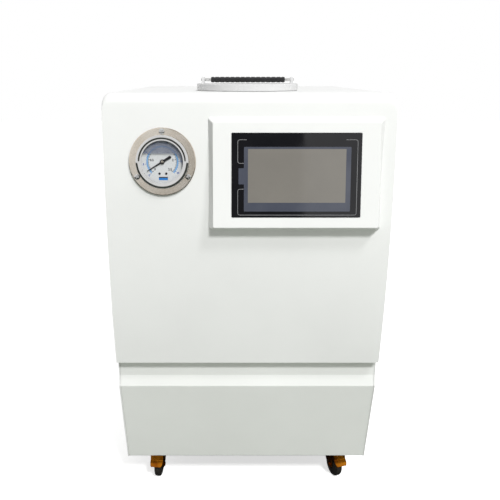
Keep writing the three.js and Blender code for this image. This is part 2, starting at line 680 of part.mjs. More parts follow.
function addCaster({ corner, x, y, turn, brake }) {
  const fixed = new THREE.Group();
  fixed.position.set(x, y, 0);
  bath.add(fixed);
  piece(`caster_plate_${corner}`, casterPlate(), 'zinc', fixed);
  const swivel = new THREE.Group();
  swivel.rotation.z = THREE.MathUtils.degToRad(turn);
  fixed.add(swivel);
  piece(`caster_fork_${corner}`, casterFork(brake), 'zinc', swivel);
  piece(`caster_wheel_${corner}`, casterWheel(), 'rubber', swivel);
  if (brake) piece(`brake_pedal_${corner}`, brakePedal(), 'zinc', swivel);
}

// ---- cooling circuit -------------------------------------------------------------------------------

function compressor() {
  const can = turnedZ([[0, 58], [45, 58], [52, 62], [55, 75], [55, 180], [50, 200], [30, 212], [0, 216]],
    MEDIUM, -85, 95);
  const foot = block(-145, -25, 60, 130, 54, 57);
  const seat = rod(turnedZ, 38, 56, 59, SMALL, -85, 95);
  return join(can, foot, seat);
}

function condenser() {
  const fins = 14;
  const pitch = 16;
  const thick = 1.4;
  const spineY = CONDENSER_Y + 12;
  const near = [];
  const far = [];
  for (let i = 0; i < fins; i += 1) {
    const x = (i - (fins - 1) / 2) * pitch;
    near.push([x - thick / 2, spineY], [x - thick / 2, CONDENSER_Y], [x + thick / 2, CONDENSER_Y],
      [x + thick / 2, spineY]);
    far.unshift([x + thick / 2, spineY + 4], [x + thick / 2, CONDENSER_Y + 28], [x - thick / 2, CONDENSER_Y + 28],
      [x - thick / 2, spineY + 4]);
  }
  return alongZ(polygon([...near, ...far]), FAN_Z - 110, FAN_Z + 110);
}

const SHROUD_Y = CONDENSER_Y + 30;

function fanShroud() {
  const plate = block(-115, 115, SHROUD_Y, SHROUD_Y + 2, FAN_Z - 110, FAN_Z + 110);
  const duct = rod(turnedY, 91, SHROUD_Y + 1, SHROUD_Y + 18, LARGE, 0, 0, FAN_Z);
  return cut(join(plate, duct), rod(turnedY, 88, SHROUD_Y - 5, SHROUD_Y + 30, LARGE, 0, 0, FAN_Z));
}

function fanMotor() {
  const start = SHROUD_Y + 18.3;
  const can = rod(turnedY, 26, start, start + 32, MEDIUM, 0, 0, FAN_Z);
  const arms = [90, 210, 330].map((degrees) => {
    const arm = block(0, 93, start, start + 3, -4, 4);
    const spin = new THREE.Matrix4().makeRotationY(THREE.MathUtils.degToRad(degrees));
    return placed(placed(arm, spin), new THREE.Matrix4().setPosition(0, 0, FAN_Z));
  });
  return cut(join(can, ...arms), rod(turnedY, 3.4, start - 1, start + 12, SMALL, 0, 0, FAN_Z));
}

function fanBlades() {
  const start = SHROUD_Y + 3;
  const hub = rod(turnedY, 22, start, start + 13, MEDIUM);
  const shaft = rod(turnedY, 3, start + 12, start + 25, SMALL);
  const blades = [];
  for (let i = 0; i < 5; i += 1) {
    const blade = new THREE.BoxGeometry(64, 1.8, 24);
    blade.rotateX(THREE.MathUtils.degToRad(40));
    blade.translate(52, start + 6.5, 0);
    blade.rotateY((i * 2 * Math.PI) / 5);
    blades.push(solidOf(blade));
  }
  return placed(join(hub, shaft, ...blades), new THREE.Matrix4().setPosition(0, 0, FAN_Z));
}

function refrigerantLine() {
  return tube(smoothPath([[-85, 95, 216.5], [-85, 95, 232], [-88, 105, 255], [-98, 130, 275], [-100, 164, 285],
    [-100, 164, 299.5]]), 3.2, 16, 6);
}

// ---- water circuit ---------------------------------------------------------------------------------

function pumpMotor() {
  const can = turnedX([[0, 22], [34, 22], [36, 25], [36, 104], [30, 112], [0, 112]], MEDIUM, 0, PUMP_Y, PUMP_Z);
  const foot = block(35, 100, PUMP_Y - 30, PUMP_Y + 30, 53.4, 57);
  const saddle = block(45, 90, PUMP_Y - 18, PUMP_Y + 18, 56, PUMP_Z - 20);
  return join(can, foot, saddle);
}

function pumpHead() {
  const volute = turnedX([[0, -8], [26, -8], [30, -4], [30, 18], [26, 21.7], [0, 21.7]], MEDIUM, 0, PUMP_Y, PUMP_Z);
  const suction = rod(turnedX, 8, -20, -5, SMALL, 0, PUMP_Y, PUMP_Z);
  const discharge = rod(turnedZ, 8, PUMP_Z + 20, PUMP_Z + 48, SMALL, 6, PUMP_Y);
  return join(volute, suction, discharge);
}

const HOSE_RADIUS = 8;

function suctionHose() {
  return tube(smoothPath([[0, TANK_Y, STUB_END_Z - GAP], [0, TANK_Y, 295], [-10, -100, 250], [-45, -85, 180],
    [-62, -68, 125], [-42, PUMP_Y, PUMP_Z], [-20.3, PUMP_Y, PUMP_Z]]), HOSE_RADIUS, 22, 8);
}

function outletHose() {
  return tube(smoothPath([[6, PUMP_Y, PUMP_Z + 48.3], [6, PUMP_Y, 165], [12, -30, 205], [28, 60, 240],
    [OUTLET.x, 150, OUTLET.z], [OUTLET.x, PORT_INNER_Y - GAP, OUTLET.z]]), HOSE_RADIUS, 22, 8);
}

function returnHose() {
  return tube(smoothPath([[0, TANK_Y + TANK_RADIUS + 24 + GAP, RETURN_STUB_Z], [0, 26, RETURN_STUB_Z],
    [-4, 58, 460], [-18, 76, 370], [-34, 100, 285], [RETURN.x, 150, RETURN.z],
    [RETURN.x, PORT_INNER_Y - GAP, RETURN.z]]), HOSE_RADIUS, 24, 8);
}

// ---- rear fittings ---------------------------------------------------------------------------------

const PORT_RADIUS = 8;
const PORT_INNER_Y = REAR_Y - 22;
const REAR_REACH = -bezelBottomY;  // the fittings stand out behind as far as the bezel does in front

function hoseBarb({ x, z }) {
  const nut = REAR_Y + GAP;
  const bore = 2.8;
  return turnedY([[bore, PORT_INNER_Y], [5.5, PORT_INNER_Y], [PORT_RADIUS, PORT_INNER_Y + 8],
    [PORT_RADIUS, nut], [11, nut], [11, nut + 4], [5, nut + 4], [6.3, nut + 6.5], [5, nut + 9],
    [6.3, nut + 11], [4.6, REAR_REACH], [bore, REAR_REACH]], SMALL, x, 0, z);
}

const LEVER_Y = REAR_Y + 8.5;

function drainValve() {
  const nut = REAR_Y + GAP;
  const bore = 2.8;
  const body = turnedY([[bore, PORT_INNER_Y], [5.5, PORT_INNER_Y], [PORT_RADIUS, PORT_INNER_Y + 8],
    [PORT_RADIUS, nut], [10, nut], [10, nut + 12.5], [6, nut + 12.5], [6, REAR_REACH], [bore, REAR_REACH]],
  SMALL, DRAIN.x, 0, DRAIN.z);
  const bonnet = rod(turnedZ, 5, DRAIN.z + 8, DRAIN.z + 12.5, SMALL, DRAIN.x, LEVER_Y);
  const stem = rod(turnedZ, 2.4, DRAIN.z + 12, DRAIN.z + 17, TINY, DRAIN.x, LEVER_Y);
  const plugBore = rod(turnedY, bore, PORT_INNER_Y - 1, REAR_REACH + 1, SMALL, DRAIN.x, 0, DRAIN.z);
  return cut(join(body, bonnet, stem), plugBore);
}

function drainLever() {
  const { x } = DRAIN;
  const bottom = DRAIN.z + 12.8;
  const outline = new THREE.Shape();
  outline.absarc(x, LEVER_Y, 5.5, Math.PI / 2, 1.5 * Math.PI, false);
  outline.lineTo(x + 30, LEVER_Y - 4);
  outline.absarc(x + 34, LEVER_Y, 4, -Math.PI / 2, Math.PI / 2, false);
  return cut(alongZ(outline, bottom, bottom + 2.4, 4),
    rod(turnedZ, 2.6, bottom - 5, bottom + 10, TINY, x, LEVER_Y));
}

const ROCKER_X = INLET.x + 16;
const ROCKER_PIVOT_Y = REAR_Y - 7;

// Mains inlet and switch frame in one snap-in module, with a socket pocket and a rocker opening.
function powerInlet() {
  const { x, z } = INLET;
  const face = REAR_Y + 3;
  const body = block(x - INLET_HALF_WIDTH, x + INLET_HALF_WIDTH, REAR_Y - 30, REAR_Y + 1,
    z - INLET_HALF_HEIGHT, z + INLET_HALF_HEIGHT);
  const flange = block(x - 34, x + 34, REAR_Y + GAP, face, z - 18, z + 18);
  const socket = polygon([[x - 27, z - 9.5], [x - 1, z - 9.5], [x - 1, z + 5], [x - 5.5, z + 9.5],
    [x - 22.5, z + 9.5], [x - 27, z + 5]]);
  const rockerSpace = block(ROCKER_X - 8, ROCKER_X + 8, ROCKER_PIVOT_Y - 12, face + 5, z - 11.5, z + 11.5);
  return cut(join(body, flange), alongY(socket, REAR_Y - 14, face + 5), rockerSpace);
}

function powerRocker() {
  const outline = polygon([[-2, -5], [-2, 5], [2, 9], [10.8, 8.6], [9.4, 0], [10.8, -8.6], [2, -9]]);
  return alongX(outline, -7, 7);
}

function electricalBox() {
  const box = block(100, 165, 20, 150, 60, 216);
  const cover = block(98, 101, 18, 152, 58, 218);
  const glandNut = rod(turnedZ, 9, 215, 228, SMALL, 130, 110);
  const feet = block(110, 155, 30, 140, 53.4, 61);
  return join(box, cover, glandNut, feet);
}

// ---- assembly --------------------------------------------------------------------------------------

piece('front_panel', frontPanel(), 'white');
piece('lower_front_panel', lowerFrontPanel(), 'lowerWhite');
piece('left_side_panel', sidePanel(-1), 'white');
piece('right_side_panel', sidePanel(1), 'white');
piece('top_cover', topCover(), 'white');
piece('rear_panel', rearPanel(), 'white');
piece('base_pan', basePan(), 'steel');
piece('tank_deck', tankDeck(), 'steel');

piece('screen_bezel', screenBezel(), 'white');
piece('touch_glass', touchGlass(), 'blackGlass', screen);
piece('display_module', displayModule(), 'blackPlastic', screen);
addGauge();

piece('tank', tank(), 'stainless');
piece('filler_neck', fillerNeck(), 'stainless');
piece('tank_insulation', tankInsulation(), 'foam');
piece('evaporator_coil', evaporatorCoil(), 'copper');
piece('tank_lid', tankLid(), 'white');
piece('lid_seal', lidSeal(), 'rubber');
piece('handle_bail', handleBail(), 'chrome');
piece('handle_grip', handleGrip(), 'blackPlastic');

CASTERS.forEach(addCaster);

piece('compressor', compressor(), 'greyPaint');
piece('condenser', condenser(), 'steel');
piece('fan_shroud', fanShroud(), 'steel');
piece('fan_motor', fanMotor(), 'greyPaint');
piece('fan_blades', fanBlades(), 'blackPlastic');
piece('refrigerant_line', refrigerantLine(), 'copper');
piece('pump_motor', pumpMotor(), 'greyPaint');
piece('pump_head', pumpHead(), 'blackPlastic');
piece('suction_hose', suctionHose(), 'hose');
piece('outlet_hose', outletHose(), 'hose');
piece('return_hose', returnHose(), 'hose');
piece('electrical_box', electricalBox(), 'greyPaint');

piece('power_inlet', powerInlet(), 'blackPlastic');
const rocker = piece('power_rocker', powerRocker(), 'blackPlastic');
rocker.position.set(ROCKER_X, ROCKER_PIVOT_Y, INLET.z);
rocker.rotation.x = THREE.MathUtils.degToRad(-9);
piece('outlet_barb', hoseBarb(OUTLET), 'brass');
piece('return_barb', hoseBarb(RETURN), 'brass');
piece('drain_valve', drainValve(), 'brass');
piece('drain_lever', drainLever(), 'steel');

export default bath;
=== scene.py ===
"""Looks of the recirculating chiller water bath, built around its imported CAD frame.

Shapes are drawn in millimetres and turned into metres when they are shown.
"""
import json
from math import asin, atan2, cos, pi, radians, sin, sqrt, tan

import bmesh
import bpy
from mathutils import Matrix, Vector


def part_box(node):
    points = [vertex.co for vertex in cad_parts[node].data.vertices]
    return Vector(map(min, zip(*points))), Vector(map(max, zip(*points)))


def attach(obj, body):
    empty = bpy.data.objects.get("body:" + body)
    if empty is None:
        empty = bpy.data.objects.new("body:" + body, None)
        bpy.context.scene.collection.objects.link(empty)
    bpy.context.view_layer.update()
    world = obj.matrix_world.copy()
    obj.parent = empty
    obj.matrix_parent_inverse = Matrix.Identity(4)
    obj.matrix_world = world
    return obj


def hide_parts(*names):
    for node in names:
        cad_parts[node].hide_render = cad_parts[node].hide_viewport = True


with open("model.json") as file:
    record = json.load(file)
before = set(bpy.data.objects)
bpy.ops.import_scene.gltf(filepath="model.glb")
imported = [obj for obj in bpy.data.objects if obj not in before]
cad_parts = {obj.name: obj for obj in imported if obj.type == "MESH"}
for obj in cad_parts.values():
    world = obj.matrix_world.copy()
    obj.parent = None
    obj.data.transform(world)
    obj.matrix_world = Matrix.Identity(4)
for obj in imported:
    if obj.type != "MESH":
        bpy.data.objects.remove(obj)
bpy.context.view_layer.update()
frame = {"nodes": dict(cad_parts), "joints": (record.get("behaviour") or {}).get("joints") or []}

MM = 0.001


def box(node):
    """Lowest and highest corner of a CAD node, in millimetres."""
    low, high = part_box(node)
    return low / MM, high / MM


def joint_of(name):
    """Place in millimetres and axis of a joint."""
    found = next(joint for joint in frame["joints"] if joint["name"] == name)
    return Vector(found["pos_m"]) / MM, Vector(found["axis"])


# ---- sizes taken from the frame ----

cover_low, cover_high = box("top_cover")
front_low, front_high = box("front_panel")
SIDE_X = cover_high.x
TOP_Z = cover_high.z
SKIRT_Z = cover_low.z
REAR_Y = cover_high.y
FRONT_Y = front_low.y
CAP_Y = front_high.y
UPPER_BOTTOM_Z = front_low.z
BASE_Z = box("left_side_panel")[0].z
SHEET = 2                           # thickness of the metal sheets
SHELL = 3                           # thickness of the bowed front
GAP = 0.3                           # between neighbouring panels

BOW_RADIUS = 1250
BOW_CENTRE_Y = FRONT_Y + BOW_RADIUS
BOW_CENTRE_Z = 420
TOP_FILLET = 15
CORNER_RADIUS = 11

# The lower front: how far it lies behind the front, and where its ledge is.
RECESS_Y = FRONT_Y + 28
LEDGE_Y = FRONT_Y + 24
FOOT_Y = FRONT_Y + 62
LEDGE_TOP_Z = 207
LEDGE_Z = 191


def bow_y(z):
    """The bowed front at a height."""
    return BOW_CENTRE_Y - sqrt(BOW_RADIUS ** 2 - (z - BOW_CENTRE_Z) ** 2)


# ---- camera, lights and floor ----

CAMERA_X = -0.022
CAMERA_DISTANCE = 0.8085           # from the foremost line of the front
CAMERA_Z = 0.621
CAMERA_PITCH = 17.0
SENSOR = 36
LENS = 45.9
SHIFT_X = 0.036
SHIFT_Y = 0.040


def make_camera():
    data = bpy.data.cameras.new("camera")
    data.sensor_width = SENSOR
    data.lens = LENS
    data.shift_x = SHIFT_X
    data.shift_y = SHIFT_Y
    camera = bpy.data.objects.new("camera", data)
    camera.location = (CAMERA_X, FRONT_Y * MM - CAMERA_DISTANCE, CAMERA_Z)
    camera.rotation_euler = (radians(90 - CAMERA_PITCH), 0, 0)
    bpy.context.scene.collection.objects.link(camera)
    bpy.context.scene.camera = camera


LIGHT_TARGET = Vector((0, 0, 0.35))
LIGHT_DISTANCE = 6
LIGHTS = {                          # direction towards the light, its side in metres, watts
    "key": ((1.0, -1, 1.9), 1.1, 115),
    "fill": ((0.35, -1, 0.92), 0.8, 226),
    "back": ((-0.9, 1, 0.35), 3.5, 100),
}
SKY = 0.36
MIRRORED_SKY = 0.75
SEEN_SKY = 1
BOUNCED_FLOOR = (0.36, 0.385, 0.34)
MIRRORED_FLOOR = (0.05, 0.053, 0.047)
FLOOR_REACH = 8
CARD_X = (-0.14, 0.3)
CARD_Y = -2.3
CARD_Z = (0.4, 1.9)


def area_light(name, direction, size, watts):
    """A square soft light that shines at the middle of the cabinet and isn't mirrored."""
    towards = Vector(direction).normalized()
    data = bpy.data.lights.new(name, "AREA")
    data.size = size
    data.energy = watts
    light = bpy.data.objects.new(name, data)
    light.location = LIGHT_TARGET + towards * LIGHT_DISTANCE
    light.rotation_euler = towards.to_track_quat("Z", "Y").to_euler()
    light.visible_glossy = False
    bpy.context.scene.collection.objects.link(light)


def mixed(tree, factor, otherwise, when):
    """One shader or the other, by a factor."""
    mix = shader_node(tree, "MixShader", Fac=factor)
    tree.links.new(otherwise, mix.inputs[1])
    tree.links.new(when, mix.inputs[2])
    return mix.outputs[0]


def floor_paper():
    """Bright pale paper; the object itself is lit and mirrored as if by a darker floor."""
    look = Look("floor_paper", (0.93, 0.93, 0.925), 0.8, Emission_Color=(1, 1, 1, 1), Emission_Strength=0.62)
    look.tint(look.noise(3, 2), (0.925, 0.925, 0.92), (0.95, 0.95, 0.945))
    tree = look.tree
    paths = shader_node(tree, "LightPath").outputs
    darker = [shader_node(tree, "BsdfDiffuse", Color=(*colour, 1)).outputs[0]
              for colour in (BOUNCED_FLOOR, MIRRORED_FLOOR)]
    shade = mixed(tree, paths["Is Glossy Ray"], *darker)
    shade = mixed(tree, paths["Is Camera Ray"], shade, look.shader.outputs[0])
    # From below the floor is clear, so that the underside can be looked at.
    clear = shader_node(tree, "BsdfTransparent").outputs[0]
    shade = mixed(tree, shader_node(tree, "NewGeometry").outputs["Backfacing"], shade, clear)
    tree.links.new(shade, tree.nodes["Material Output"].inputs["Surface"])
    return look.material


def plane(name, corners, material):
    mesh = bpy.data.meshes.new(name)
    mesh.from_pydata(corners, [], [(0, 1, 2, 3)])
    mesh.materials.append(material)
    obj = bpy.data.objects.new(name, mesh)
    bpy.context.scene.collection.objects.link(obj)
    return obj


def make_studio():
    world = bpy.data.worlds.new("studio")
    world.use_nodes = True
    tree = world.node_tree
    paths = shader_node(tree, "LightPath").outputs
    soft = tree.nodes["Background"]
    shade = soft.outputs[0]
    soft.inputs["Color"].default_value = (1, 1, 1, 1)
    soft.inputs["Strength"].default_value = SKY
    for path, strength in (("Is Glossy Ray", MIRRORED_SKY), ("Is Camera Ray", SEEN_SKY)):
        brighter = shader_node(tree, "Background", Color=(1, 1, 1, 1), Strength=strength)
        shade = mixed(tree, paths[path], shade, brighter.outputs[0])
    tree.links.new(shade, tree.nodes["World Output"].inputs["Surface"])
    bpy.context.scene.world = world
    bpy.context.scene.view_settings.view_transform = "Standard"
    for name, light in LIGHTS.items():
        area_light(name, *light)
    r = FLOOR_REACH
    floor = plane("floor", [(-r, -r, 0), (r, -r, 0), (r, r, 0), (-r, r, 0)], floor_paper())
    # A dark card behind the camera, which the screen glass and the chrome mirror.
    (x0, x1), (z0, z1) = CARD_X, CARD_Z
    card = plane("card", [(x0, CARD_Y, z0), (x1, CARD_Y, z0), (x1, CARD_Y, z1), (x0, CARD_Y, z1)],
                 Look("card_black", (0.01, 0.01, 0.01), 0.9).material)
    card.visible_camera = False


# ---- meshes ----

PLACES = {
    "x": lambda a, b, t: (t, a, b),
    "y": lambda a, b, t: (a, t, b),
    "z": lambda a, b, t: (a, b, t),
}


def polar(radius, degrees, x=0, y=0):
    """A point on a circle about a centre."""
    angle = radians(degrees)
    return x + radius * cos(angle), y + radius * sin(angle)


def solid(bm, frame_matrix=None):
    """A bmesh as an object in millimetres, with its faces pointing out."""
    bmesh.ops.remove_doubles(bm, verts=bm.verts, dist=1e-4)
    bmesh.ops.recalc_face_normals(bm, faces=bm.faces)
    if frame_matrix is not None:
        bm.transform(frame_matrix)
    mesh = bpy.data.meshes.new("solid")
    bm.to_mesh(mesh)
    bm.free()
    obj = bpy.data.objects.new("solid", mesh)
    bpy.context.scene.collection.objects.link(obj)
    return obj


def remove(obj):
    mesh = obj.data
    bpy.data.objects.remove(obj)
    bpy.data.meshes.remove(mesh)


def bake(obj):
    """Applies an object's modifiers to its mesh."""
    bpy.context.view_layer.update()
    graph = bpy.context.evaluated_depsgraph_get()
    mesh = bpy.data.meshes.new_from_object(obj.evaluated_get(graph))
    old = obj.data
    obj.modifiers.clear()
    obj.data = mesh
    bpy.data.meshes.remove(old)
    return obj


def combine(body, tools, operation):
    for tool in tools:
        modifier = body.modifiers.new(operation, "BOOLEAN")
        modifier.operation = operation
        modifier.solver = "EXACT"
        modifier.object = tool
    bake(body)
    for tool in tools:
        remove(tool)
    return body


def cut(body, *tools):
    return combine(body, tools, "DIFFERENCE")


def join(body, *others):
    return combine(body, others, "UNION")


def together(first, *others):
    """Separate solids as one piece, such as a set of screws."""
    bm = bmesh.new()
    bm.from_mesh(first.data)
    for other in others:
        bm.from_mesh(other.data)
        remove(other)
    bm.to_mesh(first.data)
    bm.free()
    return first


def moved(obj, matrix):
    obj.data.transform(matrix)
    return obj


def soften(obj, width, segments=3, angle=35, where=None):
    """Rounds the sharp edges whose middle passes the test."""
    bm = bmesh.new()
    bm.from_mesh(obj.data)
    limit = radians(angle)
    edges = []
    for edge in bm.edges:
        if len(edge.link_faces) != 2 or edge.calc_face_angle(0) < limit:
            continue
        middle = (edge.verts[0].co + edge.verts[1].co) / 2
        if where is None or where(middle):
            edges.append(edge)
    bmesh.ops.bevel(bm, geom=edges, offset=width, segments=segments, profile=0.5, affect="EDGES",
                    clamp_overlap=True)
    bmesh.ops.remove_doubles(bm, verts=bm.verts, dist=1e-3)
    bm.to_mesh(obj.data)
    bm.free()
    return obj


def loft(rings, frame_matrix=None):
    """A closed solid over a row of outlines that have the same number of points."""
    bm = bmesh.new()
    rows = [[bm.verts.new(point) for point in ring] for ring in rings]
    for low, high in zip(rows, rows[1:]):
        for i in range(len(low)):
            j = (i + 1) % len(low)
            bm.faces.new((low[i], low[j], high[j], high[i]))
    bm.faces.new(rows[0])
    bm.faces.new(rows[-1])
    return solid(bm, frame_matrix)


def prism(outline, axis, start, end, frame_matrix=None):
    """An outline swept along an axis."""
    place = PLACES[axis]
    return loft([[place(a, b, t) for a, b in outline] for t in (start, end)], frame_matrix)


def block(x0, x1, y0, y1, z0, z1, frame_matrix=None):
    return prism([(x0, y0), (x1, y0), (x1, y1), (x0, y1)], "z", z0, z1, frame_matrix)


def turned(profile, frame_matrix=None, segments=64):
    """A profile of (radius, height) turned about local Z; it closes on the axis or on itself."""
    bm = bmesh.new()
    rings = []
    for radius, height in profile:
        if radius < 1e-6:
            rings.append([bm.verts.new((0, 0, height))])
            continue
        angles = [2 * pi * i / segments for i in range(segments)]
        rings.append([bm.verts.new((radius * cos(a), radius * sin(a), height)) for a in angles])
    pairs = list(zip(rings, rings[1:]))
    if len(rings[0]) > 1 and len(rings[-1]) > 1:
        pairs.append((rings[-1], rings[0]))
    for low, high in pairs:
        for i in range(segments):
            j = (i + 1) % segments
            corners = [low[i % len(low)], low[j % len(low)], high[j % len(high)], high[i % len(high)]]
            corners = list(dict.fromkeys(corners))
            if len(corners) > 2:
                bm.faces.new(corners)
    return solid(bm, frame_matrix)


def rounded(points, radius, steps=4, closed=True):
    """An outline with its corners rounded; a corner may bring its own radius as a third number."""
    result = []
    count = len(points)
    for i, point in enumerate(points):
        corner = Vector(point[:2])
        if not closed and i in (0, count - 1):
            result.append(tuple(corner))
            continue
        before = Vector(points[i - 1][:2]) - corner
        after = Vector(points[(i + 1) % count][:2]) - corner
        size = point[2] if len(point) > 2 else radius
        half_angle = before.angle(after) / 2
        reach = min(size / tan(half_angle), 0.48 * before.length, 0.48 * after.length)
        if reach < 0.02:
            result.append(tuple(corner))
            continue
        start = corner + before.normalized() * reach
        end = corner + after.normalized() * reach
        for step in range(steps + 1):
            t = step / steps
            result.append(tuple(start * (1 - t) ** 2 + corner * 2 * t * (1 - t) + end * t * t))
    return result


def rectangle(x0, x1, y0, y1, radius=0.0, steps=5):
    corners = [(x0, y0), (x1, y0), (x1, y1), (x0, y1)]
    return rounded(corners, radius, steps) if radius else corners


def curve_solid(curve, frame_matrix):
    """A curve's or a text's own mesh as a solid."""
    holder = bpy.data.objects.new("curve", curve)
    bpy.context.scene.collection.objects.link(holder)
    bpy.context.view_layer.update()
    mesh = bpy.data.meshes.new_from_object(holder.evaluated_get(bpy.context.evaluated_depsgraph_get()))
    bm = bmesh.new()
    bm.from_mesh(mesh)
    bpy.data.objects.remove(holder)
    bpy.data.curves.remove(curve)
    bpy.data.meshes.remove(mesh)
    return solid(bm, frame_matrix)


def tube(points, radius, frame_matrix=None, smooth=True, sides=4):
    """A round rod or hose along points."""
    curve = bpy.data.curves.new("tube", "CURVE")
    curve.dimensions = "3D"
    curve.bevel_depth = radius
    curve.bevel_resolution = sides
    curve.use_fill_caps = True
    curve.resolution_u = 6
    spline = curve.splines.new("BEZIER" if smooth else "POLY")
    if smooth:
        spline.bezier_points.add(len(points) - 1)
        for knot, point in zip(spline.bezier_points, points):
            knot.co = point
            knot.handle_left_type = "AUTO"
            knot.handle_right_type = "AUTO"
    else:
        spline.points.add(len(points) - 1)
        for knot, point in zip(spline.points, points):
            knot.co = (*point, 1)
    return curve_solid(curve, frame_matrix)


def rounded_path(points, radius, steps=6):
    """A path in 3D with its bends rounded."""
    path = [Vector(points[0])]
    for before, corner, after in zip(points, points[1:], points[2:]):
        corner = Vector(corner)
        start = corner + (Vector(before) - corner).normalized() * radius
        end = corner + (Vector(after) - corner).normalized() * radius
        for step in range(steps + 1):
            t = step / steps
            path.append(start * (1 - t) ** 2 + corner * 2 * t * (1 - t) + end * t * t)
    path.append(Vector(points[-1]))
    return path


def numeral(text, size, thickness, frame_matrix):
    """Printed figures centred on the origin of their frame."""
    curve = bpy.data.curves.new("numeral", "FONT")
    curve.body = text
    curve.size = size
    curve.align_x = "CENTER"
    curve.align_y = "CENTER"
    curve.offset = 0.14
    curve.extrude = thickness / 2
    curve.resolution_u = 2
    return curve_solid(curve, frame_matrix)


def dress(obj, look, sharp):
    """Gives an object its material, and smooth faces between edges sharper than that many degrees."""
    obj.data.materials.clear()
    obj.data.materials.append(look.material)
    obj.data.polygons.foreach_set("use_smooth", [True] * len(obj.data.polygons))
    obj.data.set_sharp_from_angle(angle=radians(sharp))


def show(name, obj, slot, look, *nodes, body="cabinet"):
    """Turns a finished solid into a piece that rides on a CAD body and stands for CAD nodes."""
    obj.data.transform(Matrix.Scale(MM, 4))
    obj.name = name
    obj.data.name = name
    dress(obj, look, 32)
    weighted = obj.modifiers.new("weighted", "WEIGHTED_NORMAL")
    weighted.keep_sharp = True
    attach(obj, body)
    if nodes:
        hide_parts(*nodes)


# ---- materials ----

def shader_node(tree, kind, **inputs):
    """A shader node whose inputs are set to values or linked to other nodes' outputs."""
    node = tree.nodes.new("ShaderNode" + kind)
    for name, value in inputs.items():
        socket = node.inputs[name.replace("_", " ")]
        if isinstance(value, bpy.types.NodeSocket):
            tree.links.new(value, socket)
        else:
            socket.default_value = value
    return node


class Look:
    """A Principled material and the procedural detail of its finish."""

    def __init__(self, name, colour, roughness, **sockets):
        self.material = bpy.data.materials.new(name)
        self.material.use_nodes = True
        self.tree = self.material.node_tree
        self.shader = self.tree.nodes["Principled BSDF"]
        self.shader.inputs["Base Color"].default_value = (*colour, 1)
        self.shader.inputs["Roughness"].default_value = roughness
        for socket, value in sockets.items():
            self.shader.inputs[socket.replace("_", " ")].default_value = value
        self.place = shader_node(self.tree, "TexCoord").outputs["Object"]

    def link(self, source, target):
        self.tree.links.new(source, target)

    def noise(self, scale, detail=3, stretch=(1, 1, 1)):
        """Noise over the piece's own coordinates; scale is in features per metre."""
        mapped = shader_node(self.tree, "Mapping", Vector=self.place, Scale=stretch).outputs["Vector"]
        return shader_node(self.tree, "TexNoise", Vector=mapped, Scale=scale, Detail=detail).outputs["Fac"]

    def cells(self, scale):
        return shader_node(self.tree, "TexVoronoi", Vector=self.place, Scale=scale).outputs["Color"]

    def vector_math(self, operation, vector, other=(0, 0, 0)):
        node = shader_node(self.tree, "VectorMath")
        node.operation = operation
        node.inputs[1].default_value = other
        self.link(vector, node.inputs[0])
        return node.outputs

    def lathe_lines(self, centre, axis, scale):
        """Fine circles about a centre, in metres, as a lathe or a polishing wheel leaves them."""
        offset = self.vector_math("SUBTRACT", self.place, centre)["Vector"]
        across = self.vector_math("CROSS_PRODUCT", offset, axis)["Vector"]
        radius = self.vector_math("LENGTH", across)["Value"]
        texture = shader_node(self.tree, "TexNoise", Scale=scale, Detail=4)
        texture.noise_dimensions = "1D"
        self.link(radius, texture.inputs["W"])
        return texture.outputs["Fac"]

    def tint(self, amount, dark, light, low=0.3, high=0.7):
        """Colour that goes from dark to light as the amount goes from low to high."""
        ramp = shader_node(self.tree, "ValToRGB", Fac=amount)
        for stop, position, colour in zip(ramp.color_ramp.elements, (low, high), (dark, light)):
            stop.position = position
            stop.color = (*colour, 1)
        self.link(ramp.outputs["Color"], self.shader.inputs["Base Color"])

    def polish(self, amount, low, high):
        """Roughness that goes from low to high with the amount."""
        ranged = shader_node(self.tree, "MapRange", Value=amount, From_Min=0.3, From_Max=0.7, To_Min=low,
                             To_Max=high)
        self.link(ranged.outputs["Result"], self.shader.inputs["Roughness"])

    def bump(self, amount, depth, strength):
        """Relief of that depth in metres."""
        relief = shader_node(self.tree, "Bump", Height=amount, Distance=depth, Strength=strength)
        self.link(relief.outputs["Normal"], self.shader.inputs["Normal"])


def finished(name, dark, light, gloss, tones, shine, relief=None, stretch=(1, 1, 1), **sockets):
    """A look whose tone, gloss and relief wander by noises of (features per metre, detail)."""
    look = Look(name, light, gloss[0], **sockets)
    look.tint(look.noise(*tones, stretch), dark, light)
    look.polish(look.noise(*shine, stretch), *gloss)
    if relief:
        scale, detail, depth, strength = relief
        look.bump(look.noise(scale, detail, stretch), depth, strength)
    return look


def painted(name, dark, light, roughness=0.36):
    """Powder coat with orange peel."""
    gloss = (roughness - 0.05, roughness + 0.08)
    return finished(name, dark, light, gloss, (7, 4), (45, 4), (850, 2, 0.00004, 0.5))


def plastic(name, dark, light, roughness=0.45):
    """Moulded plastic with a fine spark-eroded grain."""
    gloss = (roughness - 0.08, roughness + 0.08)
    return finished(name, dark, light, gloss, (60, 3), (300, 3), (2600, 2, 0.00005, 0.6))


def rubbery(name, dark, light):
    return finished(name, dark, light, (0.6, 0.85), (70, 4), (140, 3), (1500, 3, 0.00006, 0.6))


def printed(name, dark, light):
    return finished(name, dark, light, (0.42, 0.6), (600, 3), (500, 2))


def behind_glass(name, dark, light, scale=30):
    """A print or display layer under the touch glass."""
    return finished(name, dark, light, (0.05, 0.12), (scale, 4), (200, 2), IOR=1.5)


def metal(name, dark, light, low, high, grain=220, stretch=(1, 1, 1)):
    """Bare or plated metal with uneven colour and polish."""
    return finished(name, dark, light, (low, high), (grain, 4), (grain * 2, 4),
                    (grain * 6, 3, 0.00002, 0.4), stretch, Metallic=1)


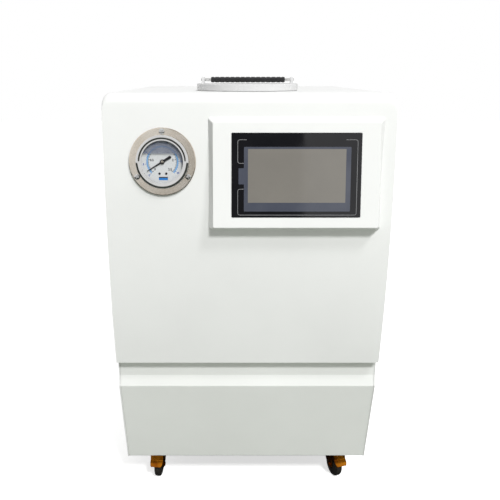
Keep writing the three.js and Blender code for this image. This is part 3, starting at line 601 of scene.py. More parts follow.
def lathed(name, dark, light, low, high, centre, axis):
    """Metal finished on a wheel, with fine circles about its axis."""
    look = Look(name, light, low, Metallic=1)
    circles = look.lathe_lines(centre, axis, 1800)
    look.tint(look.noise(38, 3), dark, light)
    look.polish(circles, low, high)
    look.bump(circles, 0.000012, 0.3)
    return look


def spangled():
    """Hot-dip galvanised sheet."""
    look = Look("galvanised", (0.55, 0.57, 0.58), 0.4, Metallic=1)
    cells = look.cells(110)
    look.tint(cells, (0.42, 0.44, 0.45), (0.64, 0.66, 0.67), 0.1, 0.9)
    look.polish(cells, 0.3, 0.5)
    look.bump(look.noise(500, 3), 0.00003, 0.4)
    return look


def foamed():
    look = Look("insulation_foam", (0.03, 0.03, 0.032), 0.95)
    look.tint(look.noise(90, 4), (0.018, 0.018, 0.02), (0.04, 0.04, 0.043))
    look.bump(look.cells(900), 0.0004, 0.8)
    return look


def see_through(name, colour, alpha, roughness=0.03):
    """A clear cover: mostly see-through, with its gloss."""
    look = Look(name, colour, roughness, Alpha=alpha)
    look.polish(look.noise(60, 2), roughness, roughness + 0.02)
    look.material.surface_render_method = "BLENDED"
    return look


gauge_place, gauge_axis = joint_of("gauge_needle_turn")
WHITE = painted("white_paint", (0.86, 0.865, 0.855), (0.905, 0.91, 0.90))
# The lid's paint is a grey copy of the cabinet's white: painted shade that makes the lid read darker.
LID_PAINT_SHADED = painted("lid_paint_painted_shade", (0.63, 0.63, 0.63), (0.68, 0.68, 0.68), 0.25)
LOWER = painted("lower_paint", (0.855, 0.865, 0.845), (0.90, 0.91, 0.89), 0.4)
FLANGE = lathed("flange_steel", (0.86, 0.77, 0.65), (0.97, 0.91, 0.82), 0.18, 0.26,
                gauge_place * MM, gauge_axis)
CHROME = metal("chrome", (0.80, 0.80, 0.80), (0.88, 0.88, 0.87), 0.04, 0.09, 60)
BRIGHT_STEEL = metal("bright_steel", (0.70, 0.70, 0.69), (0.86, 0.86, 0.85), 0.18, 0.3)
STAINLESS = metal("brushed_stainless", (0.52, 0.52, 0.51), (0.66, 0.66, 0.65), 0.22, 0.4, 60, (1, 1, 14))
PALE_BRASS = metal("pale_brass", (0.72, 0.66, 0.55), (0.85, 0.80, 0.70), 0.3, 0.45)
BRASS = metal("brass", (0.62, 0.42, 0.14), (0.80, 0.58, 0.24), 0.22, 0.4)
COPPER = metal("copper", (0.62, 0.27, 0.13), (0.84, 0.42, 0.24), 0.22, 0.42)
ZINC = metal("gold_zinc", (0.32, 0.085, 0.006), (0.66, 0.24, 0.014), 0.2, 0.34, 70)
GALVANISED = spangled()
DIAL = printed("dial_white", (0.80, 0.82, 0.84), (0.86, 0.875, 0.885))
PRINT_BLACK = printed("print_black", (0.012, 0.012, 0.014), (0.025, 0.025, 0.03))
PRINT_BLUE = printed("print_blue", (0.03, 0.09, 0.42), (0.06, 0.14, 0.52))
BAND_BLUE = printed("band_blue", (0.18, 0.42, 0.80), (0.26, 0.52, 0.88))
LABEL_BLUE = printed("label_blue", (0.015, 0.22, 0.70), (0.03, 0.28, 0.78))
NEEDLE = printed("needle_black", (0.008, 0.008, 0.009), (0.018, 0.018, 0.02))
GLASS = see_through("gauge_glass_clear", (0.05, 0.055, 0.06), 0.06)
# Grey see-through sheet over the dial: the air above the liquid, and painted shadow of the ring down one
# side.
AIR_AND_RING_SHADE = see_through("air_and_painted_ring_shade", (0.29, 0.32, 0.42), 0.42, 0.3)
BLACK_GLASS = finished("black_glass", (0.008, 0.008, 0.010), (0.012, 0.012, 0.014), (0.03, 0.07), (25, 2),
                       (80, 3), IOR=1.5)
SCREEN_FRAME = behind_glass("screen_frame_grey", (0.065, 0.072, 0.10), (0.09, 0.097, 0.125))
SCREEN_GREY = behind_glass("screen_grey", (0.212, 0.199, 0.181), (0.228, 0.214, 0.193), 20)
SCREEN_LINE = behind_glass("screen_line_grey", (0.24, 0.24, 0.25), (0.32, 0.32, 0.33))
BLACK_PLASTIC = plastic("black_plastic", (0.012, 0.012, 0.013), (0.024, 0.024, 0.026))
GRIP = plastic("grip_black", (0.012, 0.012, 0.013), (0.022, 0.022, 0.024), 0.35)
RUBBER = rubbery("wheel_rubber_black", (0.012, 0.011, 0.010), (0.030, 0.026, 0.022))
SEAL = rubbery("seal_rubber_grey", (0.05, 0.05, 0.05), (0.09, 0.09, 0.09))
FOAM = foamed()
GREY_PAINT = painted("machine_grey", (0.09, 0.10, 0.105), (0.13, 0.14, 0.145), 0.45)
HOSE = rubbery("hose_silicone", (0.52, 0.50, 0.44), (0.64, 0.62, 0.56))


# ---- cabinet ----

BOW_STEPS = 36
FILLET_STEPS = 10
CORNER_STEPS = 8


def bow_profile(inset, rear_y, drop):
    """Side view of the front panel in (y, z): bowed front, rounded top edge, top lowered by drop."""
    top = TOP_Z - drop
    fillet_z = top - TOP_FILLET
    rise = fillet_z - BOW_CENTRE_Z
    fillet_y = BOW_CENTRE_Y - sqrt((BOW_RADIUS - TOP_FILLET) ** 2 - rise ** 2)
    radius = BOW_RADIUS - inset
    bottom = UPPER_BOTTOM_Z + inset
    first = asin((bottom - BOW_CENTRE_Z) / radius)
    last = asin(rise / (BOW_RADIUS - TOP_FILLET))
    points = [(rear_y, bottom)]
    for i in range(BOW_STEPS + 1):
        angle = first + (last - first) * i / BOW_STEPS
        points.append((BOW_CENTRE_Y - radius * cos(angle), BOW_CENTRE_Z + radius * sin(angle)))
    small = TOP_FILLET - inset
    for i in range(1, FILLET_STEPS + 1):
        angle = last + (pi / 2 - last) * i / FILLET_STEPS
        points.append((fillet_y - small * cos(angle), fillet_z + small * sin(angle)))
    points.append((rear_y, top - inset))
    return points


def bowed_block(inset, rear_y):
    """The front panel's solid outline, whose top edge drops towards its rounded corners."""
    radius = CORNER_RADIUS - inset
    half = SIDE_X - inset
    stations = []
    for i in range(CORNER_STEPS + 1):
        angle = pi / 2 * i / CORNER_STEPS
        stations.append((half - radius + radius * cos(angle), radius * (1 - sin(angle))))
    mirrored = [(-x, drop) for x, drop in stations]
    rings = []
    for x, drop in mirrored + stations[::-1]:
        rings.append([(x, y, z) for y, z in bow_profile(inset, rear_y, drop)])
    return loft(rings)


def in_frame(origin, up, outward):
    """Matrix of a frame with x to the right, y up and z out of the front."""
    right = up.cross(outward)
    matrix = Matrix((right, up, outward)).transposed().to_4x4()
    matrix.translation = origin
    return matrix


GAUGE_OUT = -gauge_axis
GAUGE = in_frame(gauge_place, Vector((0, GAUGE_OUT.z, -GAUGE_OUT.y)), GAUGE_OUT)
GAUGE_BODY_RADIUS = 31.4
FLANGE_RADIUS = 42.5
BOLT_RADIUS = 37.5
BOLT_ANGLES = (90, 210, 330)

bezel_low, bezel_high = box("screen_bezel")
SCREEN_X = (bezel_low.x + bezel_high.x) / 2
BEZEL_RIM = 6
BEZEL_TOP_Z = bezel_high.z - BEZEL_RIM
BEZEL_BOTTOM_Z = bezel_low.z + BEZEL_RIM
BEZEL_HALF_WIDTH = (bezel_high.x - bezel_low.x) / 2 - BEZEL_RIM
TOP_DEPTH = 5                       # how far the bezel's face stands out at its top and bottom
BOTTOM_DEPTH = 17
BEZEL_TOP_Y = bow_y(BEZEL_TOP_Z) - TOP_DEPTH
BEZEL_BOTTOM_Y = bow_y(BEZEL_BOTTOM_Z) - BOTTOM_DEPTH
screen_up = Vector((0, BEZEL_TOP_Y - BEZEL_BOTTOM_Y, BEZEL_TOP_Z - BEZEL_BOTTOM_Z)).normalized()
screen_out = Vector((0, -screen_up.z, screen_up.y))
screen_origin = Vector((SCREEN_X, (BEZEL_TOP_Y + BEZEL_BOTTOM_Y) / 2, (BEZEL_TOP_Z + BEZEL_BOTTOM_Z) / 2))
SCREEN = in_frame(screen_origin, screen_up, screen_out)
GLASS_HALF_WIDTH = box("touch_glass")[1].x - SCREEN_X
GLASS_HALF_HEIGHT = 52.5


def bolt_place(degrees):
    return GAUGE @ Matrix.Translation((*polar(BOLT_RADIUS, degrees), 0))


def rod(radius, low, high, frame_matrix=None, segments=48):
    return turned([(0, low), (radius, low), (radius, high), (0, high)], frame_matrix, segments)


def front_panel():
    shell = soften(bowed_block(0, CAP_Y), 1.8, 4, 40, lambda p: p.y < CAP_Y - 1)
    shell = soften(shell, 0.5, 2, 40, lambda p: p.y > CAP_Y - 1)
    half_x = GLASS_HALF_WIDTH - 4
    half_y = GLASS_HALF_HEIGHT - 3
    window = block(-half_x, half_x, -half_y, half_y, -40, 10, SCREEN)
    gauge_hole = rod(GAUGE_BODY_RADIUS + 0.8, -12, 10, GAUGE)
    shell = cut(shell, bowed_block(SHELL, CAP_Y + 2), gauge_hole, window)
    show("front_panel_shell", shell, "white_shell", WHITE, "front_panel")


def lower_front_panel():
    low, high = box("lower_front_panel")
    outline = [
        (RECESS_Y, high.z),
        (RECESS_Y, LEDGE_TOP_Z, 0.8),
        (LEDGE_Y, LEDGE_Z, 2.5),
        (FOOT_Y, low.z, 3.5),
        (high.y, low.z, 0.3),
        (high.y, low.z + SHEET, 0.3),
        (FOOT_Y + SHEET, low.z + SHEET, 1.5),
        (LEDGE_Y + SHEET, LEDGE_Z, 0.8),
        (RECESS_Y + SHEET, LEDGE_TOP_Z, 1),
        (RECESS_Y + SHEET, high.z),
    ]
    panel = soften(prism(rounded(outline, 0.3, 5), "x", low.x, high.x), 0.5, 2, 60)
    show("lower_front_sheet", panel, "lower_panel", LOWER, "lower_front_panel")


def side_panel(side):
    name = "left_side_panel" if side < 0 else "right_side_panel"
    low, high = box(name)
    outline = [
        (high.y, low.z),
        (high.y, high.z),
        (CAP_Y + GAP, high.z),
        (CAP_Y + GAP, UPPER_BOTTOM_Z - GAP, 0.6),
        (RECESS_Y, UPPER_BOTTOM_Z - GAP),
        (RECESS_Y, LEDGE_TOP_Z, 3),
        (LEDGE_Y, LEDGE_Z, 2.5),
        (FOOT_Y, low.z),
    ]
    panel = soften(prism(rounded(outline, 1.2, 4), "x", low.x, high.x), 0.7, 3, 60)
    show(name.replace("panel", "sheet"), panel, "white_shell", WHITE, name)


def rounded_top_outline(inset, bottom):
    """Front view of the cabinet in (x, z), open downwards, with rounded top corners."""
    x = SIDE_X - inset
    top = TOP_Z - inset
    radius = CORNER_RADIUS - inset
    points = [(-x, bottom), (x, bottom)]
    for centre_x, start in ((x - radius, 0), (radius - x, 90)):
        points += [polar(radius, start + turn, centre_x, top - radius) for turn in range(0, 91, 9)]
    return points


TANK_CENTRE = Vector((0, -103, 0))
TANK = Matrix.Translation(TANK_CENTRE)
NECK_RADIUS = 58


def top_cover():
    cover = soften(prism(rounded_top_outline(0, SKIRT_Z), "y", CAP_Y + GAP, REAR_Y), 0.5, 2, 50)
    inner = prism(rounded_top_outline(SHEET, SKIRT_Z - 5), "y", CAP_Y - 5, REAR_Y + 5)
    cover = cut(cover, inner, rod(NECK_RADIUS + 4, TOP_Z - 10, TOP_Z + 10, TANK, 96))
    show("top_cover_sheet", cover, "white_shell", WHITE, "top_cover")


LOUVRE_ROWS = 10
LOUVRE_PITCH = 20
LOUVRE_LENGTH = 95
LOUVRE_HEIGHT = 3.6
FAN_Z = 410
PORT_HOLE = 8.4
OUTWARD_REAR = Matrix(((-1, 0, 0, 0), (0, 0, 1, 0), (0, 1, 0, 0), (0, 0, 0, 1)))


def rear_at(x, z):
    """Frame on the rear panel's face, with z outwards behind the cabinet."""
    return Matrix.Translation((x, REAR_Y, z)) @ OUTWARD_REAR


def louvre_places():
    for row in range(LOUVRE_ROWS):
        z = FAN_Z + (row - (LOUVRE_ROWS - 1) / 2) * LOUVRE_PITCH
        for side in (-1, 1):
            yield side * (LOUVRE_LENGTH / 2 + 8), z


def louvre_hood(x, z):
    """A pressed hood over one slot, open at its lower edge."""
    stations = 14
    thickness = 0.8
    depth, end_depth = 4.2, 0.25
    reach = LOUVRE_LENGTH / 2 + 2
    rings = []
    for i in range(stations + 1):
        share = 2 * i / stations - 1
        bulge = (1 - abs(share) ** 5) * depth + end_depth
        arc = [(bulge, degrees) for degrees in range(0, 91, 15)]
        arc += [(max(bulge - thickness, 0.1), degrees) for degrees in range(90, -1, -15)]
        ring = []
        for radius, degrees in arc:
            angle = radians(degrees)
            y = REAR_Y - 0.6 + radius * cos(angle)
            ring.append((x + share * reach, y, z - 1.8 + 1.7 * radius * sin(angle)))
        rings.append(ring)
    return loft(rings)


def pan_head(radius, height, frame_matrix):
    """A pan-head screw with a cross recess, standing out along z of its frame."""
    profile = [(0, -1.5), (radius * 0.5, -1.5), (radius * 0.5, 0), (radius, 0)]
    for degrees in range(0, 90, 15):
        angle = radians(degrees)
        profile.append((radius * cos(angle), height * (0.35 + 0.65 * sin(angle))))
    profile.append((0, height))
    head = turned(profile, None, 32)
    arm = radius * 0.7
    slot_half = radius * 0.13
    floor = height * 0.45
    head = cut(head, block(-arm, arm, -slot_half, slot_half, floor, height + 1),
               block(-slot_half, slot_half, -arm, arm, floor, height + 1))
    return moved(head, frame_matrix)


def rear_panel():
    low, high = box("rear_panel")
    outline = rounded_top_outline(SHEET + GAP, low.z)
    panel = soften(prism(outline, "y", low.y, high.y), 0.4, 2, 60)
    half = LOUVRE_LENGTH / 2
    slot = LOUVRE_HEIGHT / 2
    front, back = low.y - 5, high.y + 5
    tools = [block(x - half, x + half, front, back, z - slot, z + slot) for x, z in louvre_places()]
    for node in ("outlet_barb", "return_barb", "drain_valve"):
        centre = port_centre(node)
        tools.append(rod(PORT_HOLE, -10, 10, rear_at(centre.x, centre.z), 32))
    inlet = inlet_centre()
    tools.append(block(inlet.x - 31, inlet.x + 31, front, back, inlet.z - 15, inlet.z + 15))
    show("rear_panel_sheet", cut(panel, *tools), "white_shell", WHITE, "rear_panel")
    hoods = together(*[louvre_hood(x, z) for x, z in louvre_places()])
    show("rear_louvre_hoods", hoods, "white_shell", WHITE)
    edge = high.x - 9
    places = [(x, z) for x in (-edge, edge) for z in (75, 230, 400, 560)]
    places += [(x, 586) for x in (-90, 0, 90)]
    screws = together(*[pan_head(3.4, 2.0, rear_at(x, z)) for x, z in places])
    show("rear_panel_screws", screws, "bright_steel", BRIGHT_STEEL)


def port_centre(node):
    """Middle of a rear fitting's bore."""
    low, high = box(node)
    z = low.z + 10 if node == "drain_valve" else (low.z + high.z) / 2
    return Vector(((low.x + high.x) / 2, high.y, z))


def inlet_centre():
    low, high = box("power_inlet")
    return (low + high) / 2


# ---- touch screen ----

def screen_bezel():
    """A wedge-shaped frame: its flat face leans back, and its rim meets the bowed panel."""
    half = BEZEL_HALF_WIDTH
    face = rectangle(SCREEN_X - half, SCREEN_X + half, BEZEL_BOTTOM_Z, BEZEL_TOP_Z, 2)
    half += BEZEL_RIM
    rim = rectangle(SCREEN_X - half, SCREEN_X + half, bezel_low.z, bezel_high.z, 3)

    def face_y(z):
        share = (z - BEZEL_BOTTOM_Z) / (BEZEL_TOP_Z - BEZEL_BOTTOM_Z)
        return BEZEL_BOTTOM_Y + (BEZEL_TOP_Y - BEZEL_BOTTOM_Y) * share

    rings = [
        [(x, bow_y(z) + 2, z) for x, z in rim],
        [(x, bow_y(z) - 0.2, z) for x, z in rim],
        [(x, face_y(z), z) for x, z in face],
    ]
    frame_piece = soften(loft(rings), 1.5, 4, 30, lambda p: p.y < face_y(p.z) + 0.5)
    half_x = GLASS_HALF_WIDTH + GAP
    half_y = GLASS_HALF_HEIGHT + GAP
    window = prism(rectangle(-half_x, half_x, -half_y, half_y, 1.2), "z", -60, 10, SCREEN)
    frame_piece = soften(cut(frame_piece, window), 0.4, 2, 60)
    show("screen_bezel_frame", frame_piece, "white_shell", WHITE, "screen_bezel")


def touch_screen():
    top = 0.6
    slab = prism(rectangle(-GLASS_HALF_WIDTH, GLASS_HALF_WIDTH, -GLASS_HALF_HEIGHT, GLASS_HALF_HEIGHT, 1.0),
                 "z", -1.6, top, SCREEN)
    show("touch_glass_slab", soften(slab, 0.35, 3, 60), "black_glass", BLACK_GLASS, "touch_glass")
    layers = (
        ("display_frame", (-66, 68.4, -45, 35.5, 1.2), top + 0.05, SCREEN_FRAME),
        ("display_area", (-61, 62.2, -34, 32.9, 0.6), top + 0.09, SCREEN_GREY),
        ("display_tab", (-72.8, -65.5, -10.9, 9.1, 0.4), top + 0.04, SCREEN_FRAME),
    )
    for name, outline, height, look in layers:
        layer = prism(rectangle(*outline), "z", height - 0.25, height, SCREEN)
        show(name, layer, "black_glass", look)
    line_height = top - 0.15
    bracket = [(-62.7, 44.2), (-73.8, 44.2), (-73.8, 15.2), (-66.3, 15.2)]
    surround = [(-66.3, -17), (-73.8, -17), (-73.8, -49.6), (76.4, -49.6), (76.4, 44.2), (62, 44.2)]
    lines = []
    for path in (bracket, surround):
        corners = [(x, y, line_height) for x, y in path]
        lines.append(tube(rounded_path(corners, 3), 0.38, SCREEN, smooth=False, sides=2))
    show("display_lines", together(*lines), "black_glass", SCREEN_LINE)


# ---- pressure gauge ----

DIAL_START = 225
DIAL_SWEEP = 270
NEEDLE_DEGREES = 211                # where the needle rests
DIAL_Z = 1.5                        # the dial's face
PRINT = 0.05                        # how far the printing stands out
MINORS = 5
BAR_MAJORS = 5
POUND_MAJORS = 7.25                 # the outer scale, in pounds per square inch, runs to 36.25


def dial_degrees(share):
    """Angle on the dial at a share of the scale."""
    return DIAL_START - DIAL_SWEEP * share


def arc_band(inner, outer):
    """A flat printed band along the whole scale."""
    steps = DIAL_SWEEP // 3
    places = [dial_degrees(i / steps) for i in range(steps + 1)]
    outline = [polar(outer, degrees) for degrees in places]
    outline += [polar(inner, degrees) for degrees in reversed(places)]
    return prism(outline, "z", DIAL_Z, DIAL_Z + PRINT, GAUGE)


def ticks(majors, start, major_end, minor_end):
    """Scale lines from one radius to another, wider and longer at the majors."""
    marks = []
    count = int(majors * MINORS)
    for i in range(count + 1):
        end, half = (minor_end, 0.165) if i % MINORS else (major_end, 0.3)
        spin = GAUGE @ Matrix.Rotation(radians(dial_degrees(i / (majors * MINORS))), 4, "Z")
        marks.append(block(start, end, -half, half, DIAL_Z, DIAL_Z + PRINT, spin))
    return marks


def dial_numerals(labels, majors, radius, size):
    figures = []
    for i, label in enumerate(labels):
        place = Matrix.Translation((*polar(radius, dial_degrees(i / majors)), DIAL_Z + 0.03))
        figures.append(numeral(label, size, PRINT, GAUGE @ place))
    return figures


def gauge_dial():
    face = DIAL_Z
    dial = turned([(0, 0.7), (28.8, 0.7), (29, 0.9), (29, face - 0.1), (28.8, face), (0, face)], GAUGE, 96)
    show("gauge_dial_plate", dial, "dial_face", DIAL, "gauge_dial")
    black = [arc_band(17.5, 17.9)]
    black += ticks(BAR_MAJORS, 17.9, 15.6, 16.6)
    black += dial_numerals(["0", "0.5", "1", "1.5", "2", "2.5"], BAR_MAJORS, 13.4, 3.9)
    black.append(block(-4.9, 6.5, -20.2, -18.9, face, face + PRINT, GAUGE))
    show("dial_print_black", together(*black), "needle_black", PRINT_BLACK)
    show("dial_band_blue", arc_band(18.3, 20.3), "dial_face", BAND_BLUE)
    blue = ticks(POUND_MAJORS, 20.3, 21.9, 21.2)
    blue += dial_numerals(["0", "5", "10", "15", "20", "25", "30", "35"], POUND_MAJORS, 24.1, 3.3)
    show("dial_print_blue", together(*blue), "dial_face", PRINT_BLUE)
    label = block(-4.9, 6.5, -23, -20.2, face, face + PRINT, GAUGE)
    show("dial_label_blue", label, "dial_face", LABEL_BLUE)
    rivets = []
    for x in (-4.0, 4.6):
        profile = [(0, face - 0.3), (1.5, face - 0.3), (1.5, face + 0.2), (1.0, face + 0.6), (0, face + 0.7)]
        rivets.append(turned(profile, GAUGE @ Matrix.Translation((x, -14.8, 0)), 24))
    show("dial_rivets", together(*rivets), "bright_steel", PRINT_BLACK)


def gauge_needle():
    """Tapered pointer with a heavy tail, on a hub with a brass pin."""
    tip, tail, low, high = 22.8, -12.9, 2.2, 2.7
    upper = [(tip, 0.4, 0.3), (2, 1.1), (-3, 1.4), (tail, 1.85, 1.8)]
    lower = [(x, -y, *radius) for x, y, *radius in reversed(upper)]
    pointer = soften(prism(rounded(upper + lower, 2, 5), "z", low, high), 0.12, 2, 50)
    hub = turned([(0, 1.9), (2.9, 1.9), (3, 2.1), (3, 2.9), (2.7, 3.2), (1.9, 3.2), (1.85, 3.05), (0, 3.05)],
                 None, 40)
    turn = GAUGE @ Matrix.Rotation(radians(NEEDLE_DEGREES), 4, "Z")
    show("gauge_pointer_arm", moved(join(pointer, hub), turn), "needle_black", NEEDLE, "gauge_needle",
         body="gauge_pointer")
    pin = turned([(0, 2.9), (1.8, 2.9), (1.8, 3.2), (1.5, 3.34), (0, 3.35)], GAUGE, 32)
    show("gauge_pointer_pin", pin, "brass", PALE_BRASS, body="gauge_pointer")


def gauge_body():
    outer = FLANGE_RADIUS
    inner = GAUGE_BODY_RADIUS + 0.3
    profile = [(inner, 0.4), (outer, 0.4), (outer, 2.1, 0.4), (outer - 1, 2.3, 1), (inner, 2.3)]
    flange = turned(rounded(profile, 0.25, 4), GAUGE, 128)
    show("gauge_flange_ring", flange, "flange_steel", FLANGE, "gauge_flange")
    for i, degrees in enumerate(BOLT_ANGLES):
        spin = Matrix.Rotation(radians(25 + 40 * i), 4, "Z")
        head = pan_head(3.7, 2.6, bolt_place(degrees) @ Matrix.Translation((0, 0, 2.0)) @ spin)
        show(f"gauge_screw_head_{i + 1}", head, "bright_steel", BRIGHT_STEEL, f"gauge_screw_{i + 1}")
    ring = rounded([(26.4, 5.9, 0.2), (26.4, 7.4, 0.2), (28.3, 7.4, 0.4), (30.4, 9, 1.0), (33.5, 6.6, 1.6),
                    (33.5, 2.5, 0.6), (31.6, 2.5, 0.3), (31.6, 5.9, 0.2)], 0.3, 8)
    show("gauge_bezel_ring", turned(ring, GAUGE, 128), "gauge_chrome", CHROME, "gauge_ring")
    glass = turned([(0, 3.8), (28.3, 3.7), (28.4, 3.9), (28.4, 5.2), (28.2, 5.4), (0, 5.6)], GAUGE, 96)
    show("gauge_cover_glass", glass, "clear_glass", GLASS, "gauge_glass")
    level = 10.2
    reach = 28.2
    steps = 40
    left = 180 - 180 / pi * asin(level / reach)
    right = -25
    outline = [polar(reach, right + (left - right) * i / steps) for i in range(steps + 1)]
    # The liquid's surface is level above; the strip down the wall on one side is painted shadow of the ring.
    outline += rounded([(12, level), (18.5, level - 0.6), (22.4, 4), (24.6, -3)], 5, 6, closed=False)
    # The sheet greys the dial under it: the air gap above the level, painted ring shadow down the right wall.
    air_and_shade = prism(outline, "z", 3.45, 3.6, GAUGE)
    show("gauge_air_and_painted_shade", air_and_shade, "clear_glass", AIR_AND_RING_SHADE)


# ---- tank, lid and handle ----

def tank_pieces():
    low, high = box("tank")
    bore = 6
    inner, outer = 85, 86.5
    floor = 348
    profile = [(bore, low.z, 0.3), (bore, floor + 1.5, 1), (inner, floor + 1.5, 6), (inner, high.z, 0.4),
               (outer, high.z, 0.4), (outer, floor, 7), (8, floor, 1), (8, low.z, 0.3)]
    vessel = turned(rounded(profile, 0.3, 5), TANK, 96)
    return_port = Matrix.Translation((0, TANK_CENTRE.y, 500)) @ OUTWARD_REAR
    vessel = join(vessel, turned([(2.8, 80), (8, 80), (8, 109), (2.8, 109)], return_port, 40))
    vessel = cut(vessel, rod(2.8, 70, 115, return_port, 32))
    show("tank_vessel", vessel, "flange_steel", STAINLESS, "tank")
    plate_z = high.z + GAP
    rim = box("filler_neck")[1].z
    profile = [(NECK_RADIUS, plate_z, 0.8), (NECK_RADIUS, rim, 2.4), (69, rim, 0.4), (69, rim - 1.2, 0.4),
               (59.5, rim - 1.2, 1.2), (59.5, plate_z + 1.5, 1.2), (outer, plate_z + 1.5, 0.4),
               (outer, plate_z, 0.4)]
    neck = turned(rounded(profile, 0.3, 5), TANK, 96)
    show("filler_neck_ring", neck, "flange_steel", STAINLESS, "filler_neck")
    turns, per_turn, pitch, radius = 3, 16, 18, 74
    bottom = floor + 20
    top = high.z - 4
    coil = [(0, radius - 12, top), (0, radius - 12, bottom + 30), (0, radius - 6, bottom + 8)]
    for i in range(1, turns * per_turn):
        coil.append((*polar(radius, 90 + 360 * i / per_turn), bottom + pitch * i / per_turn))
    coil += [(0, radius, bottom + turns * pitch + 14), (0, radius, top)]
    show("evaporator_tube", tube(coil, 4, TANK), "copper", COPPER, "evaporator_coil")


LID_RADIUS = box("tank_lid")[1].x
LUG_X = 63
HANDLE_Z = joint_of("lid_handle_fold")[0].z
grip_low, grip_high = box("handle_grip")
GRIP_Y = (grip_low.y + grip_high.y) / 2
GRIP_HALF = grip_high.x
SIDEWAYS = Matrix.Rotation(pi / 2, 4, "Y")


def tank_lid():
    y = TANK_CENTRE.y
    under = TOP_Z + 3.4
    top = TOP_Z + 10
    edge = LID_RADIUS
    skirt, skirt_inside = 56, 53.5
    profile = [(0, top), (edge, top - 0.4, 1.4), (edge, TOP_Z + 0.5, 0.5), (edge - 1.6, TOP_Z + 0.5, 0.4),
               (edge - 1.6, under, 0.6), (skirt, under, 0.6), (skirt, TOP_Z - 8, 0.5),
               (skirt_inside, TOP_Z - 8, 0.5), (skirt_inside, under, 0.6), (0, under)]
    lid = turned(rounded(profile, 0.4, 5, closed=False), TANK, 128)
    foot, tip = 6, 3.4
    lug_top = HANDLE_Z + tip
    lug = [(y - foot, top - 2), (y + foot, top - 2), (y + tip, lug_top, 3), (y - tip, lug_top, 3)]
    outline = rounded(lug, 0.1, 6)
    lugs = [soften(prism(outline, "x", x - 2, x + 2), 0.5, 3, 50) for x in (-LUG_X, LUG_X)]
    pins = Matrix.Translation((0, y, HANDLE_Z)) @ SIDEWAYS
    lid = cut(join(lid, *lugs), rod(2.2, -LUG_X - 5, LUG_X + 5, pins, 24))
    # The lid wears the greyed paint, a painted shade.
    show("lid_cap", lid, "white_shell", LID_PAINT_SHADED, "tank_lid", body="lid")


def lid_handle():
    arm = LUG_X - 6
    end = LUG_X + 3
    y = TANK_CENTRE.y
    z = HANDLE_Z
    corners = [(-end, y, z), (-arm, y, z), (-arm, GRIP_Y, z), (arm, GRIP_Y, z), (arm, y, z), (end, y, z)]
    bail = tube(rounded_path(corners, 3), 2, None, smooth=False)
    show("lid_bail", bail, "flange_steel", BRIGHT_STEEL, "handle_bail", body="lid_handle")
    half = GRIP_HALF
    ribs = 14
    profile = [(2.1, -half), (3.0, -half), (3.6, -half + 0.8), (3.75, -half + 2.2)]
    for i in range(ribs):
        x = -half + 5 + (2 * half - 10) * i / (ribs - 1)
        profile += [(3.75, x - 1.2), (3.3, x - 0.7), (3.3, x + 0.7), (3.75, x + 1.2)]
    profile += [(3.75, half - 2.2), (3.6, half - 0.8), (3.0, half), (2.1, half)]
    grip = turned(profile, Matrix.Translation((0, GRIP_Y, z)) @ SIDEWAYS, 32)
    show("lid_grip", grip, "black_plastic", GRIP, "handle_grip", body="lid_handle")


# ---- casters ----

def bolt_head(radius, low, high, frame_matrix=None):
    """A hexagon head with softened edges."""
    hexagon = [polar(radius, degrees) for degrees in range(0, 360, 60)]
    return moved(soften(prism(hexagon, "z", low, high), 0.35, 2, 40), frame_matrix or Matrix())


def caster_frame(corner):
    """Frame of a caster on the floor: the swivel axis is its origin and the wheel trails towards -y."""
    place, _ = joint_of(f"swivel_turn_{corner}")
    wheel, axle = joint_of(f"wheel_spin_{corner}")
    turn = atan2(axle.y, axle.x)
    matrix = Matrix.Translation((place.x, place.y, 0)) @ Matrix.Rotation(turn, 4, "Z")
    return matrix, (matrix.inverted() @ wheel).y


WHEEL_RADIUS = 19
WHEEL_HALF = 5
CHEEK_IN = 6.2
CHEEK_OUT = 8
PEDAL_HALF = 9.8
PLATE_TOP = BASE_Z - 0.2
FORK_TOP = 42.2
PIVOT_BACK = 2                      # how far the pedal's pivot lies behind the axle
PIVOT_Z = 37


def caster_plate(corner, matrix):
    half = 20
    plate = soften(prism(rectangle(-half, half, -half, half, 5), "z", PLATE_TOP - 2.2, PLATE_TOP), 0.4, 2, 60)
    race = turned([(0, 38.3), (5.2, 38.3), (5.5, 38.6), (5.5, 39.7), (3.4, 39.7), (3.4, 45.4), (10, 45.4),
                   (10.7, 46.2), (10.5, 47.8), (0, 47.8)], None, 40)
    heads = []
    for x in (-15, 15):
        for y in (-15, 15):
            heads.append(bolt_head(3.4, PLATE_TOP - 4.6, PLATE_TOP - 2.0, Matrix.Translation((x, y, 0))))
    fixed = moved(join(plate, race, *heads), Matrix.Translation(matrix.translation))
    show(f"caster_top_{corner}", fixed, "gold_zinc", ZINC, f"caster_plate_{corner}")


